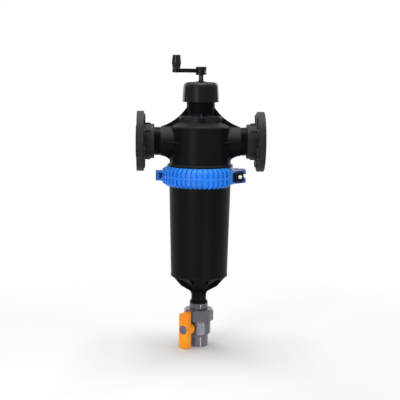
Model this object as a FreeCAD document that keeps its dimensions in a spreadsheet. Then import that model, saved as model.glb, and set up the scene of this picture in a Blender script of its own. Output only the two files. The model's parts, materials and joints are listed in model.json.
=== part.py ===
import FreeCAD, Part
import os
import re
import Sketcher

# Irrigation screen filter, three inch, with flanged ports, in millimetres.
# The frame has its origin at the centre of the inlet flange's face, +X along the flow and +Z up.
# Heights are measured from the pipe's axis, and radii from the filter's upright axis.

Vector = FreeCAD.Vector
doc = FreeCAD.newDocument("irrigation_screen_filter")

# Driving dimensions: alias, size, note
SIZES = [
    # Pipe ends
    ("face_to_face", 430, "inlet flange face to outlet flange face"),
    ("port_bore_radius", 38.5, "waterway of both ports"),
    ("flange_radius", 100, "outer radius of the pipe flanges"),
    ("flange_thick", 24, "thickness of the flange plate"),
    ("flange_face_radius", 52, "raised sealing face of a flange"),
    ("flange_face_height", 3, "height of the raised sealing face"),
    ("bolt_circle_radius", 80, "circle of the flange bolt holes"),
    ("bolt_hole_radius", 9, "flange bolt hole"),
    ("bolt_hole_count", 8, "flange bolt holes on one flange"),
    ("bolt_boss_radius", 15, "raised seat round each bolt hole"),
    ("bolt_boss_height", 4, "height of that seat"),
    ("hub_radius", 57.5, "hub of the flange adapter"),
    ("hub_length", 34, "hub, from the flange plate to its mouth"),
    ("hub_lug_height", 3.5, "lengthwise lugs on the hub"),
    ("hub_lug_width", 13, "width of one hub lug"),
    ("hub_lug_length", 22, "length of one hub lug"),
    ("spigot_setback", 18, "port's end, behind the flange face"),
    ("port_seal_thick", 2.5, "flat seal at the port's end"),
    ("port_thread_radius", 46.5, "screwed length of a port"),
    ("port_thread_length", 64.5, "from the port's end to its thick root"),
    ("port_pad_radius", 49, "thick root of a port"),
    ("thread_clearance", 0.3, "radial room round screwed joints"),
    # Head
    ("head_radius", 102.5, "outer radius of head and bowl top"),
    ("head_wall", 9, "wall of head and bowl"),
    ("side_top", 45, "top of the head's straight side"),
    ("side_draft", 4, "lean of the head's side, over its height"),
    ("shoulder_round", 10, "rounding of the shoulder's edge"),
    ("ledge_root", 62, "where the sloped ledge meets the inner step"),
    ("step_top", 85, "top of the inner step"),
    ("step_round", 3, "roundings of the inner step"),
    ("neck_radius", 46.8, "neck under the top cap"),
    ("neck_bore_radius", 39, "bore of the neck"),
    ("neck_top", 178, "top end of the neck"),
    ("duct_radius", 65, "bore of the central duct above the screen"),
    ("duct_wall", 8, "wall of the central duct"),
    ("duct_setback", 45, "duct's end, above the body joint"),
    ("inlet_tube_wall", 5.5, "wall of the tube from inlet to duct"),
    ("web_thick", 8, "upright gusset webs between neck and ports"),
    ("web_top", 112.5, "height where the webs leave the neck"),
    ("web_curve", 160, "hollow curve of the upper webs"),
    ("low_web_curve", 52, "hollow curve of the lower webs"),
    ("low_web_drop", 13, "foot of the lower webs, under the port's root"),
    ("flat_web_thick", 4, "level gusset webs beside the ports"),
    ("neck_rib_width", 5, "short ribs at the foot of the neck"),
    ("neck_rib_height", 27, "height of those ribs above the step"),
    ("bead_height", 7.5, "bead above the clamp"),
    ("bead_thick", 4.5, "thickness of that bead"),
    # Body joint and clamp
    ("joint_drop", 115.5, "pipe axis down to the joint of head and bowl"),
    ("rim_height", 13.5, "height of the clamped rims"),
    ("rim_edge", 9, "thickness of a rim at its edge"),
    ("rim_root", 18, "thickness of a rim at its root"),
    ("clamp_height", 66, "height of the body clamp"),
    ("clamp_lip_gap", 2.3, "clamp lip to the body's side"),
    ("clamp_fit", 0.35, "clearance between clamp and rims"),
    ("clamp_web", 4.4, "thickness of the clamp's web"),
    ("clamp_web_slope", 17, "height of the web's slope at the clamp's edges"),
    ("clamp_rib_slope", 11, "height of the ribs' slope at the clamp's edges"),
    ("clamp_rib_height", 6, "height of the upright clamp ribs"),
    ("clamp_rib_width", 8.5, "width of one upright clamp rib"),
    ("clamp_rib_pitch", 8, "angle from one clamp rib to the next"),
    ("clamp_rib_count", 17, "upright ribs on one clamp half"),
    ("clamp_band_height", 7, "height of the level middle rib"),
    ("closing_angle", 38, "ribs end at this angle from the closure"),
    ("closing_lip", 9, "clamp's lower edge raised at the closure"),
    ("clamp_split", 3, "clamp half to the plane between the halves"),
    ("lug_centre_lift", 1, "lugs' middle above the body joint"),
    ("hinge_offset", 17, "hinge pin outside the clamp's web"),
    ("hinge_pin_radius", 4, "clamp hinge pin"),
    ("hinge_knuckle_radius", 10.5, "hinge knuckles"),
    ("hinge_height", 34, "height of the hinge"),
    ("hinge_ear", 7, "thickness of the hinge's outer ears"),
    ("lug_reach", 31, "closing lugs, out from the clamp's web"),
    ("lug_height", 42, "height of the closing lugs"),
    ("lug_near", 8, "front lug's inner face, from the split plane"),
    ("lug_depth", 15, "front lug's thickness"),
    ("lug_plate", 6, "top and bottom plates of the closing lugs"),
    ("swing_bolt_offset", 11, "swing bolt outside the clamp's web"),
    ("swing_bolt_radius", 6, "swing bolt"),
    ("swing_slot", 14, "slot for the swing bolt"),
    ("swing_eye_radius", 11, "eye of the swing bolt"),
    ("swing_pin_radius", 5, "pin through that eye"),
    ("swing_pin_depth", 15, "swing bolt's pin behind the split plane"),
    ("washer_radius", 13, "washer under the clamp nut"),
    ("washer_thick", 2.5, "its thickness"),
    ("clamp_nut_radius", 11, "round clamp nut"),
    ("clamp_nut_length", 11, "length of the clamp nut"),
    ("bolt_end", 5, "bolt's end beyond its nut"),
    ("seal_radius", 102, "middle of the body seal"),
    ("seal_section", 2.6, "section radius of the body seal"),
    # Bowl
    ("bowl_length", 340.5, "body joint down to the bowl's bottom rim"),
    ("bowl_foot_radius", 95, "outer radius at the bottom rim"),
    ("bowl_floor", 10, "bottom rim to the floor inside the bowl"),
    ("hopper_drop", 43, "height of the hopper under the floor"),
    ("hopper_inner_drop", 26, "height of the hopper's inside"),
    ("bowl_rib_count", 9, "ribs under the floor"),
    ("bowl_rib_thick", 6, "thickness of one rib"),
    ("apron_width", 44, "wide ribs under the floor, front and back"),
    ("apron_setback", 8, "wide rib behind the bottom rim"),
    ("bowl_neck_radius", 25.2, "neck under the bowl"),
    ("bowl_neck_length", 85, "bottom rim to the neck's collar"),
    ("collar_radius", 30.2, "collar at the neck's end"),
    ("collar_height", 7.5, "height of that collar"),
    ("spigot_radius", 23.9, "screwed spigot under the collar"),
    ("spigot_length", 20, "length of that spigot"),
    ("drain_bore_radius", 19, "waterway of the drain"),
    ("seat_ring_outer", 57, "screen seat standing on the floor"),
    ("seat_ring_inner", 51, "inside of that seat"),
    ("seat_ring_height", 17, "its height above the floor"),
    # Screen
    ("screen_fit", 0.3, "clearance of the screen's ends in their seats"),
    ("screen_collar_length", 17, "screen collar inside the duct"),
    ("screen_collar_wall", 5, "wall of that collar"),
    ("cage_wall", 4, "wall of the screen cage"),
    ("cage_step", 3, "cage outside the duct's bore"),
    ("mesh_thick", 0.9, "thickness of the screen mesh"),
    ("window_columns", 10, "columns of cage windows"),
    ("window_rows", 5, "windows in one column"),
    ("window_width", 32, "width of a cage window"),
    ("window_gap", 9, "cage ring between two windows"),
    # Top cap and crank
    ("cap_bottom", 131, "lower edge of the top cap"),
    ("cap_radius", 60.3, "cap at its lower edge"),
    ("cap_top_radius", 57.4, "cap below its rounding"),
    ("cap_side_height", 49.5, "cap's side, up to its rounding"),
    ("cap_round", 14, "rounding of the cap's top edge"),
    ("cap_dome", 2.5, "rise of the domed top"),
    ("cap_rib_count", 9, "ribs up the cap's side and over its top"),
    ("cap_rib_width", 3, "width of one cap rib"),
    ("cap_rib_height", 1.2, "height of a cap rib"),
    ("cap_seal_thick", 2, "flat seal under the cap"),
    ("cap_boss_radius", 17, "boss round the bush"),
    ("bush_radius", 12, "bush in the cap"),
    ("shaft_radius", 8, "crank shaft"),
    ("running_fit", 0.05, "radial clearance of a turning fit"),
    ("shaft_top", 245, "top end of the crank shaft"),
    ("crank_head_bottom", 220, "bottom of the crank's head"),
    ("crank_head_height", 27, "height of the crank's head"),
    ("crank_head_radius", 18, "crank's head round the shaft"),
    ("crank_length", 82, "shaft axis to grip axis"),
    ("arm_bottom", 227.4, "underside of the crank arm"),
    ("arm_height", 13.3, "height of the crank arm"),
    ("arm_groove", 2.5, "depth of the grooves along the arm"),
    ("arm_edge", 3.5, "height of the arm's edges beside a groove"),
    ("arm_width", 14, "width of the crank arm"),
    ("arm_eye_radius", 13.5, "arm's eye under the grip"),
    ("crank_bolt_radius", 3, "bolt that holds the crank"),
    ("crank_bolt_head", 8, "its hexagon head, to a corner"),
    ("crank_bolt_head_height", 7.5, "height of that head"),
    ("grip_pin_radius", 5, "pin that the grip turns on"),
    ("grip_length", 44.5, "length of the grip"),
    ("grip_top_radius", 13.2, "grip at its top"),
    ("grip_belly_radius", 16.2, "grip at its widest"),
    ("grip_foot_radius", 12.4, "grip at its foot"),
    # Brush
    ("brush_fit", 0.6, "bristle tips to the mesh"),
    ("brush_rail", 6, "thickness of the brush rails"),
    ("brush_width", 10, "width of the brush holder"),
    ("bristle_length", 13, "free length of the bristles"),
    ("bristle_width", 6, "width of a bristle strip"),
    # Drain valve
    ("valve_turn", 227, "direction of the valve's stem, degrees from +X"),
    ("connector_radius", 31.5, "neck of the valve's top connector"),
    ("connector_length", 32, "length of that connector"),
    ("connector_flange_radius", 39.5, "its flange inside the nut"),
    ("connector_flange", 6.5, "thickness of that flange"),
    ("connector_seal", 2, "seal under the connector"),
    ("union_radius", 50.5, "union nut at its corners"),
    ("union_length", 39, "length of the union nut"),
    ("union_chamfer", 5, "chamfer on the union nut's upper edge"),
    ("union_turn", 15.5, "angle from the stem to the union nut's first corner"),
    ("union_lip", 6, "inward lip of the union nut"),
    ("valve_radius", 41, "screwed upper end of the valve body"),
    ("valve_corner", 42.3, "valve body at its corners"),
    ("facet_count", 10, "sides of the union nut and of the valve body"),
    ("valve_top_to_ball", 48.5, "top of the valve body to the ball's centre"),
    ("valve_below_ball", 20, "ball's centre to the lower taper"),
    ("valve_taper", 12, "height of the lower taper"),
    ("socket_radius", 33, "lower socket"),
    ("socket_length", 33, "length of the lower socket"),
    ("socket_thread_depth", 22, "depth of the thread in the socket"),
    ("ball_radius", 28, "ball"),
    ("ball_fit", 0.6, "room round the ball"),
    ("ball_seat_fit", 0.3, "ball to its seats"),
    ("ball_seat_radius", 26, "outer radius of a ball seat"),
    ("ball_seat_height", 7, "height of a ball seat"),
    ("ball_seat_z", 14, "ball's centre to the near face of a seat"),
    ("stem_radius", 8, "valve stem"),
    ("stem_boss_radius", 16, "boss round the stem"),
    ("stem_boss_reach", 43.5, "boss's end, from the ball's centre"),
    ("handle_face", 78, "handle's front face, from the ball's centre"),
    ("handle_depth", 18.5, "depth of the handle's wings"),
    ("handle_length", 128, "length of the handle"),
    ("handle_width", 37.5, "width of the handle"),
    ("handle_slant", 10, "fall of the handle's upper end to one side"),
    ("handle_wall", 4, "wall of the handle"),
    ("handle_hub_radius", 20.5, "hub of the handle"),
    ("handle_cap_radius", 12.5, "round cap on the handle"),
]

# Places and sizes that follow from the driving dimensions
PLACES = {
    "axis_x": "face_to_face / 2",
    "port_reach": "axis_x - spigot_setback",
    "pad_reach": "port_reach - port_thread_length",
    "joint": "-joint_drop",
    "head_inner": "head_radius - head_wall",
    "duct_outer": "duct_radius + duct_wall",
    "duct_end": "joint + duct_setback",
    "rim_radius": "head_radius + rim_height",
    "bead_bottom": "joint + clamp_height / 2 + 1",
    # Clamp
    "clamp_lip": "head_radius + clamp_lip_gap",
    "channel_radius": "rim_radius + 2 * clamp_fit",
    "clamp_web_radius": "channel_radius + clamp_web",
    "clamp_rib_radius": "clamp_web_radius + clamp_rib_height",
    "rim_slope": "(rim_root - rim_edge) / rim_height",
    "channel_edge": "rim_edge - rim_slope * 2 * clamp_fit + clamp_fit",
    "channel_lip": "rim_root - rim_slope * clamp_lip_gap + clamp_fit",
    "lug_middle": "joint + lug_centre_lift",
    "hinge_x": "-(clamp_web_radius + hinge_offset)",
    "lug_end": "clamp_web_radius + lug_reach",
    "swing_x": "clamp_web_radius + swing_bolt_offset",
    # Bowl
    "rim_bottom": "joint - bowl_length",
    "floor_top": "rim_bottom - 1 + bowl_floor",
    "collar_top": "rim_bottom - bowl_neck_length",
    "collar_bottom": "collar_top - collar_height",
    "spigot_end": "collar_bottom - spigot_length",
    "foot_inner": "bowl_foot_radius - head_wall",
    "seat_top": "floor_top + seat_ring_height",
    # Screen and brush
    "cage_inner": "duct_radius + cage_step - cage_wall",
    "cage_top": "duct_end - screen_fit",
    "cage_bottom": "seat_top - 10",
    "mesh_outer": "cage_inner - running_fit",
    "mesh_inner": "mesh_outer - mesh_thick",
    "mesh_top": "duct_end - 6",
    "mesh_bottom": "seat_top + 5",
    "bristle_tip": "mesh_inner - brush_fit",
    "rail_outer": "bristle_tip - bristle_length",
    "brush_top": "mesh_top - 4",
    "brush_bottom": "mesh_bottom + 3",
    "shaft_bottom": "floor_top + 6",
    # Cap and crank
    "cap_roof": "neck_top + cap_seal_thick",
    "cap_shoulder": "cap_bottom + cap_side_height",
    "cap_edge_top": "cap_shoulder + cap_round",
    "cap_top": "cap_edge_top + cap_dome",
    "arm_top": "arm_bottom + arm_height",
    "grip_foot": "arm_top + 0.3",
    # Drain valve, measured from the ball's centre
    "valve_top": "collar_bottom - connector_length - connector_seal",
    "ball_z": "valve_top - valve_top_to_ball",
    "socket_top": "-(valve_below_ball + valve_taper)",
    "valve_bottom": "socket_top - socket_length",
    "connector_top": "collar_bottom - ball_z",
    "connector_bottom": "valve_top_to_ball + connector_seal",
    "union_top": "connector_bottom + connector_flange + thread_clearance + union_lip",
    "union_bottom": "union_top - union_length",
    "carrier_bottom": "ball_seat_z + ball_seat_height + 0.1",
    "ball_room": "ball_radius + ball_fit",
    "stem_end": "handle_face - 6",
    "stem_shoulder_end": "ball_room + 4",
    "handle_back": "handle_face - handle_depth",
}

sheet = doc.addObject("Spreadsheet::Sheet", "Dims")
for line, (alias, size, note) in enumerate(SIZES, start=1):
    sheet.set(f"A{line}", note)
    sheet.set(f"B{line}", str(size))
    sheet.setAlias(f"B{line}", alias)
doc.recompute()
ALIASES = {alias for alias, size, note in SIZES}


def written(text):
    """An expression on the sheet's cells for a size given in words."""
    def cell(match):
        word = match.group(0)
        if word in PLACES:
            return f"({written(PLACES[word])})"
        return f"Dims.{word}" if word in ALIASES else word
    return re.sub(r"[A-Za-z_]\w*", cell, str(text))


def size_of(text):
    """The present value of a size given in words."""
    return float(sheet.evalExpression(written(text)))


def bind(thing, path, text):
    """Bind one property, or one sketch constraint, to the sheet."""
    if re.search("[A-Za-z]", str(text)):
        thing.setExpression(path, written(text))


def new_body(name, x="axis_x", z="0", turn=None):
    """A body standing at (x, 0, z), turned about its upright axis when turn is given."""
    body = doc.addObject("PartDesign::Body", name)
    body.Label = name
    angle = size_of(turn) if turn else 0
    place = Vector(size_of(x), 0, size_of(z))
    body.Placement = FreeCAD.Placement(place, FreeCAD.Rotation(Vector(0, 0, 1), angle))
    bind(body, "Placement.Base.x", x)
    bind(body, "Placement.Base.z", z)
    if turn:
        bind(body, "Placement.Rotation.Angle", turn)
    return body


def new_sketch(body, plane, offset="0"):
    """An empty sketch on one of the body's own planes, moved along that plane's normal."""
    sketch = body.newObject("Sketcher::SketchObject", body.Name + "_sketch")
    support = [part for part in body.Origin.OriginFeatures if part.Role == plane][0]
    sketch.AttachmentSupport = (support, [""])
    sketch.MapMode = "FlatFace"
    sketch.AttachmentOffset.Base = Vector(0, 0, size_of(offset))
    bind(sketch, "AttachmentOffset.Base.z", offset)
    return sketch


def arc_between(start, end, radius):
    """Arc of less than half a turn, its centre on the left of the way for a positive radius."""
    chord = end - start
    side = 1 if radius > 0 else -1
    normal = Vector(-chord.y, chord.x, 0).normalize() * side
    reach = max(radius * radius - chord.Length ** 2 / 4, 0) ** 0.5
    centre = (start + end) * 0.5 + normal * reach
    middle = centre - normal * abs(radius)
    return Part.ArcOfCircle(start, middle, end)


def draw(sketch, corners):
    """Closed outline through corners (u, v); a third entry bends the edge to the next corner."""
    points = [Vector(size_of(corner[0]), size_of(corner[1]), 0) for corner in corners]
    first = sketch.GeometryCount
    ends = []
    for number, corner in enumerate(corners):
        start = points[number]
        end = points[(number + 1) % len(points)]
        if len(corner) > 2:
            radius = size_of(corner[2])
            sketch.addGeometry(arc_between(start, end, radius))
            ends.append((1, 2) if radius > 0 else (2, 1))
        else:
            sketch.addGeometry(Part.LineSegment(start, end))
            ends.append((1, 2))
    for number, corner in enumerate(corners):
        edge = first + number
        begin = ends[number][0]
        before = ends[number - 1][1]
        previous = first + (number - 1) % len(corners)
        sketch.addConstraint(Sketcher.Constraint("Coincident", previous, before, edge, begin))
        for kind, letter, text in (("DistanceX", "x", corner[0]), ("DistanceY", "y", corner[1])):
            where = getattr(points[number], letter)
            mark = sketch.addConstraint(Sketcher.Constraint(kind, -1, 1, edge, begin, where))
            bind(sketch, f"Constraints[{mark}]", text)
        if len(corner) > 2:
            radius = abs(size_of(corner[2]))
            mark = sketch.addConstraint(Sketcher.Constraint("Radius", edge, radius))
            bind(sketch, f"Constraints[{mark}]", str(corner[2]).lstrip("-"))


def draw_circle(sketch, u, v, radius):
    """Circle about (u, v)."""
    centre = Vector(size_of(u), size_of(v), 0)
    circle = Part.Circle(centre, Vector(0, 0, 1), size_of(radius))
    edge = sketch.addGeometry(circle)
    for kind, where, text in (("DistanceX", centre.x, u), ("DistanceY", centre.y, v)):
        mark = sketch.addConstraint(Sketcher.Constraint(kind, -1, 1, edge, 3, where))
        bind(sketch, f"Constraints[{mark}]", text)
    mark = sketch.addConstraint(Sketcher.Constraint("Radius", edge, size_of(radius)))
    bind(sketch, f"Constraints[{mark}]", radius)


def box_corners(left, right, bottom, top):
    """The four corners of a rectangle."""
    return [(left, bottom), (right, bottom), (right, top), (left, top)]


def turn_outline(body, corners, plane="XZ_Plane", axis="V_Axis", angle="360", cut=False):
    """Revolve an outline about an axis of its sketch, evenly to both sides of the sketch."""
    sketch = new_sketch(body, plane)
    draw(sketch, corners)
    kind = "PartDesign::Groove" if cut else "PartDesign::Revolution"
    feature = body.newObject(kind, body.Name + ("_groove" if cut else "_turned"))
    feature.Profile = sketch
    feature.ReferenceAxis = (sketch, [axis])
    feature.Angle = size_of(angle)
    bind(feature, "Angle", angle)
    feature.Midplane = angle != "360"
    return feature


def extrude(body, sketch, length, cut=False, both=False, back=False):
    """Pad or pocket a sketch: along its normal, backwards, or evenly to both sides."""
    kind = "PartDesign::Pocket" if cut else "PartDesign::Pad"
    feature = body.newObject(kind, body.Name + ("_pocket" if cut else "_pad"))
    feature.Profile = sketch
    feature.Length = size_of(length)
    bind(feature, "Length", length)
    feature.Midplane = both
    feature.Reversed = back != cut
    return feature


def round_block(body, plane, u, v, radius, start, length, cut=False):
    """Round pad or pocket from start, along the plane's normal."""
    sketch = new_sketch(body, plane, start)
    draw_circle(sketch, u, v, radius)
    return extrude(body, sketch, length, cut=cut)


def block(body, plane, corners, start, length, cut=False):
    """Pad or pocket of one outline from start, along the plane's normal."""
    sketch = new_sketch(body, plane, start)
    draw(sketch, corners)
    return extrude(body, sketch, length, cut=cut)


def around(body, feature, count, angle="360", axis="N_Axis"):
    """Repeat a feature about an axis of its sketch."""
    pattern = body.newObject("PartDesign::PolarPattern", body.Name + "_around")
    pattern.Originals = [feature]
    pattern.Axis = (feature.Profile[0], [axis])
    pattern.Angle = size_of(angle)
    bind(pattern, "Angle", angle)
    pattern.Occurrences = round(size_of(count))
    bind(pattern, "Occurrences", count)
    body.Tip = pattern
    return pattern


def other_side(body, feature, plane="YZ_Plane"):
    """Mirror a feature in one of the body's own planes."""
    mirror = body.newObject("PartDesign::Mirrored", body.Name + "_mirror")
    mirror.Originals = [feature]
    support = [part for part in body.Origin.OriginFeatures if part.Role == plane][0]
    mirror.MirrorPlane = (support, [""])
    body.Tip = mirror
    return mirror


def ring(name, inner, outer, bottom, top, **place):
    """Plain ring or, with no inner radius, disc about the body's upright axis."""
    body = new_body(name, **place)
    turn_outline(body, box_corners(inner, outer, bottom, top))
    return body


def o_ring(name, radius, section, height, **place):
    """Round seal ring."""
    body = new_body(name, **place)
    sketch = new_sketch(body, "XZ_Plane")
    draw_circle(sketch, radius, height, section)
    feature = body.newObject("PartDesign::Revolution", name + "_turned")
    feature.Profile = sketch
    feature.ReferenceAxis = (sketch, ["V_Axis"])
    feature.Angle = 360
    return body


def filter_head():
    """One moulding: neck, shoulders, ports with gusset webs, clamped rim and the inner ducts."""
    body = new_body("filter_head")
    turn_outline(body, [
        ("0", "joint"),
        ("rim_radius", "joint"),
        ("rim_radius", "joint + rim_edge"),
        ("head_radius", "joint + rim_root"),
        ("head_radius", "bead_bottom"),
        ("head_radius + bead_height - 1", "bead_bottom"),
        ("head_radius + bead_height", "bead_bottom + 1"),
        ("head_radius + bead_height", "bead_bottom + bead_thick - 1"),
        ("head_radius", "bead_bottom + bead_thick + 4"),
        ("head_radius - side_draft", "side_top", "shoulder_round"),
        ("head_radius - side_draft - 8", "side_top + 9"),
        ("duct_outer + step_round", "ledge_root", "-step_round"),
        ("duct_outer", "ledge_root + step_round"),
        ("duct_outer", "step_top - step_round", "step_round"),
        ("duct_outer - step_round", "step_top"),
        ("neck_radius + step_round", "step_top", "-step_round"),
        ("neck_radius", "step_top + step_round"),
        ("neck_radius", "neck_top"),
        ("0", "neck_top"),
    ])
    for radius, reach in (("port_pad_radius", "pad_reach"), ("port_thread_radius", "port_reach")):
        sketch = new_sketch(body, "YZ_Plane")
        draw_circle(sketch, "0", "0", radius)
        extrude(body, sketch, f"2 * ({reach})", both=True)
    # Upright webs over and under each port
    sketch = new_sketch(body, "XZ_Plane")
    draw(sketch, [
        ("neck_bore_radius", "web_top"),
        ("neck_radius + 0.3", "web_top", "web_curve"),
        ("pad_reach - 1", "port_pad_radius"),
        ("pad_reach - 1", "-port_pad_radius + 3"),
        ("pad_reach - 6", "-port_pad_radius", "low_web_curve"),
        ("head_radius - 1", "-port_pad_radius - low_web_drop"),
        ("neck_bore_radius", "-port_pad_radius - low_web_drop"),
    ])
    web = extrude(body, sketch, "web_thick", both=True)
    other_side(body, web)
    # Level webs in the corners between ports and body
    root = "(head_radius - side_draft - 1)"
    sketch = new_sketch(body, "XY_Plane")
    draw(sketch, [
        (f"{root} * cos(50)", f"-{root} * sin(50)"),
        ("pad_reach - 6", "-port_pad_radius"),
        ("pad_reach - 6", "port_pad_radius"),
        (f"{root} * cos(50)", f"{root} * sin(50)"),
    ])
    web = extrude(body, sketch, "flat_web_thick", both=True)
    other_side(body, web)
    # Short ribs at the foot of the neck, front and back
    sketch = new_sketch(body, "YZ_Plane")
    draw(sketch, [
        ("-(duct_outer - step_round)", "step_top - 2"),
        ("duct_outer - step_round", "step_top - 2"),
        ("duct_outer - step_round", "step_top"),
        ("neck_radius", "step_top + neck_rib_height"),
        ("-neck_radius", "step_top + neck_rib_height"),
        ("-(duct_outer - step_round)", "step_top"),
    ])
    extrude(body, sketch, "neck_rib_width", both=True)
    # Ring space outside the duct, then the tube across it, then the duct and the neck's bore
    turn_outline(body, [
        ("duct_outer", "joint - 2"),
        ("head_inner", "joint - 2"),
        ("head_inner - side_draft", "side_top - 5"),
        ("head_inner - side_draft - 8", "side_top + 2"),
        ("duct_outer", "ledge_root - 9"),
    ], cut=True)
    round_block(body, "YZ_Plane", "0", "0", "port_bore_radius + inlet_tube_wall",
                "-(head_inner + 3)", "head_inner + 3 - duct_radius / 2")
    turn_outline(body, [
        ("0", "joint - 2"),
        ("duct_outer + 1", "joint - 2"),
        ("duct_outer + 1", "duct_end"),
        ("duct_radius + 2", "duct_end"),
        ("duct_radius", "duct_end + 3"),
        ("duct_radius", "step_top - 16"),
        ("duct_radius - 8", "step_top - 8"),
        ("neck_bore_radius", "step_top - 8"),
        ("neck_bore_radius", "neck_top + 1"),
        ("0", "neck_top + 1"),
    ], cut=True)
    round_block(body, "YZ_Plane", "0", "0", "port_bore_radius",
                "-(port_reach + 1)", "port_reach + 1 - duct_radius / 2", cut=True)
    round_block(body, "YZ_Plane", "0", "0", "port_bore_radius",
                "duct_outer + 5", "port_reach + 1 - duct_outer", cut=True)
    return body


def filter_bowl():
    """One moulding: tapered pot, clamped rim with its seal groove, ribbed floor, neck and spigot."""
    body = new_body("filter_bowl")
    turn_outline(body, [
        ("0", "spigot_end"),
        ("spigot_radius - 1", "spigot_end"),
        ("spigot_radius", "spigot_end + 1"),
        ("spigot_radius", "collar_bottom"),
        ("collar_radius", "collar_bottom"),
        ("collar_radius", "collar_top"),
        ("bowl_neck_radius", "collar_top"),
        ("bowl_neck_radius", "rim_bottom - hopper_drop - 1"),
        ("bowl_foot_radius - 12", "rim_bottom - 1"),
        ("bowl_foot_radius - 4", "rim_bottom - 1"),
        ("bowl_foot_radius + 1", "rim_bottom + 3"),
        ("bowl_foot_radius + 1", "rim_bottom + 7"),
        ("bowl_foot_radius", "rim_bottom + 9"),
        ("head_radius", "joint - clamp_height / 2 - 2"),
        ("head_radius", "joint - rim_root"),
        ("rim_radius", "joint - rim_edge"),
        ("rim_radius", "joint"),
        ("0", "joint"),
    ])
    # Ribs under the floor: thin ones all round, and a wide one in front and behind
    for back, wide in (("0", "bowl_rib_thick"), ("apron_setback", "apron_width")):
        sketch = new_sketch(body, "YZ_Plane")
        draw(sketch, [
            ("drain_bore_radius + 2", "rim_bottom"),
            ("drain_bore_radius + 2", "rim_bottom - 66"),
            ("bowl_neck_radius", "rim_bottom - 66", "-22"),
            ("bowl_neck_radius + 14", "rim_bottom - 46"),
            (f"bowl_foot_radius - 27 - {back} / 2", "rim_bottom - 29"),
            (f"bowl_foot_radius - 2 - {back}", "rim_bottom - 1"),
            (f"bowl_foot_radius - 4 - {back}", "rim_bottom"),
        ])
        rib = extrude(body, sketch, wide, both=True)
        if back == "0":
            around(body, rib, "bowl_rib_count", axis="V_Axis")
        else:
            other_side(body, rib, "XZ_Plane")
    turn_outline(body, [
        ("0", "spigot_end - 1"),
        ("drain_bore_radius", "spigot_end - 1"),
        ("drain_bore_radius", "floor_top - hopper_inner_drop"),
        ("seat_ring_inner - 6", "floor_top"),
        ("seat_ring_inner", "floor_top"),
        ("seat_ring_inner", "seat_top"),
        ("seat_ring_outer", "seat_top"),
        ("seat_ring_outer", "floor_top"),
        ("foot_inner - 8", "floor_top"),
        ("foot_inner", "floor_top + 8"),
        ("head_inner", "joint - clamp_height / 2 - 2"),
        ("head_inner", "joint + 1"),
        ("0", "joint + 1"),
    ], cut=True)
    turn_outline(body, box_corners(
        "seal_radius - seal_section - 0.3", "seal_radius + seal_section + 0.3",
        "joint - 2 * seal_section", "joint + 1"), cut=True)
    return body


def clamp_half(name, side):
    """Half of the body clamp: side is -1 for the front half and 1 for the back half."""
    body = new_body(name)
    half = "clamp_height / 2"
    band = "clamp_band_height / 2"
    turn_outline(body, [
        (f"{side} * clamp_lip", f"joint - {half}"),
        (f"{side} * (clamp_lip + 3)", f"joint - {half}"),
        (f"{side} * clamp_web_radius", f"joint - {half} + clamp_web_slope"),
        (f"{side} * clamp_web_radius", f"joint - {band}"),
        (f"{side} * (clamp_rib_radius + 1)", f"joint - {band} + 1"),
        (f"{side} * (clamp_rib_radius + 1)", f"joint + {band} - 1"),
        (f"{side} * clamp_web_radius", f"joint + {band}"),
        (f"{side} * clamp_web_radius", f"joint + {half} - clamp_web_slope"),
        (f"{side} * (clamp_lip + 3)", f"joint + {half}"),
        (f"{side} * clamp_lip", f"joint + {half}"),
    ], plane="YZ_Plane", angle="180 - 360 * clamp_split / (3.1416 * clamp_web_radius)")
    # The level rib ends before the closing lugs, and the lower edge is raised there
    for low, high, inner in (
            (f"joint - {band} - 1", f"joint + {band} + 1", "clamp_web_radius"),
            (f"joint - {half} - 1", f"joint - {half} + closing_lip", "clamp_lip - 1")):
        turn_outline(body, box_corners(inner, "clamp_rib_radius + 2", low, high),
                     angle="2 * closing_angle", cut=True)
    # Upright ribs, the first one beside the hinge
    sketch = new_sketch(body, "XY_Plane", f"joint - {half}")
    start = f"(180 - {side} * clamp_rib_pitch)"
    near = "(clamp_lip + 1)"
    far = "clamp_rib_radius"
    wide = "clamp_rib_width / 2"
    draw(sketch, [
        (f"{near} * cos{start} + {wide} * sin{start}", f"{near} * sin{start} - {wide} * cos{start}"),
        (f"{far} * cos{start} + {wide} * sin{start}", f"{far} * sin{start} - {wide} * cos{start}"),
        (f"{far} * cos{start} - {wide} * sin{start}", f"{far} * sin{start} + {wide} * cos{start}"),
        (f"{near} * cos{start} - {wide} * sin{start}", f"{near} * sin{start} + {wide} * cos{start}"),
    ])
    rib = extrude(body, sketch, "clamp_height")
    pattern = around(body, rib, "clamp_rib_count", "(clamp_rib_count - 1) * clamp_rib_pitch")
    pattern.Reversed = side > 0
    # The ribs slope in to the clamp's edges
    for way in (-1, 1):
        turn_outline(body, [
            ("clamp_rib_radius + 0.1", f"joint + {way} * ({half} - clamp_rib_slope)"),
            ("clamp_rib_radius + 2", f"joint + {way} * ({half} - clamp_rib_slope)"),
            ("clamp_rib_radius + 2", f"joint + {way} * ({half} + 1)"),
            ("clamp_lip + 5", f"joint + {way} * ({half} + 1)"),
            ("clamp_lip + 5", f"joint + {way} * {half}"),
        ], cut=True)
    if side < 0:
        front_fittings(body)
    else:
        back_fittings(body)
    # Channel that takes both rims
    turn_outline(body, [
        ("head_radius", "joint + channel_lip"),
        ("clamp_lip", "joint + channel_lip"),
        ("channel_radius", "joint + channel_edge"),
        ("channel_radius", "joint - channel_edge"),
        ("clamp_lip", "joint - channel_lip"),
        ("head_radius", "joint - channel_lip"),
    ], cut=True)
    return body


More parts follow.
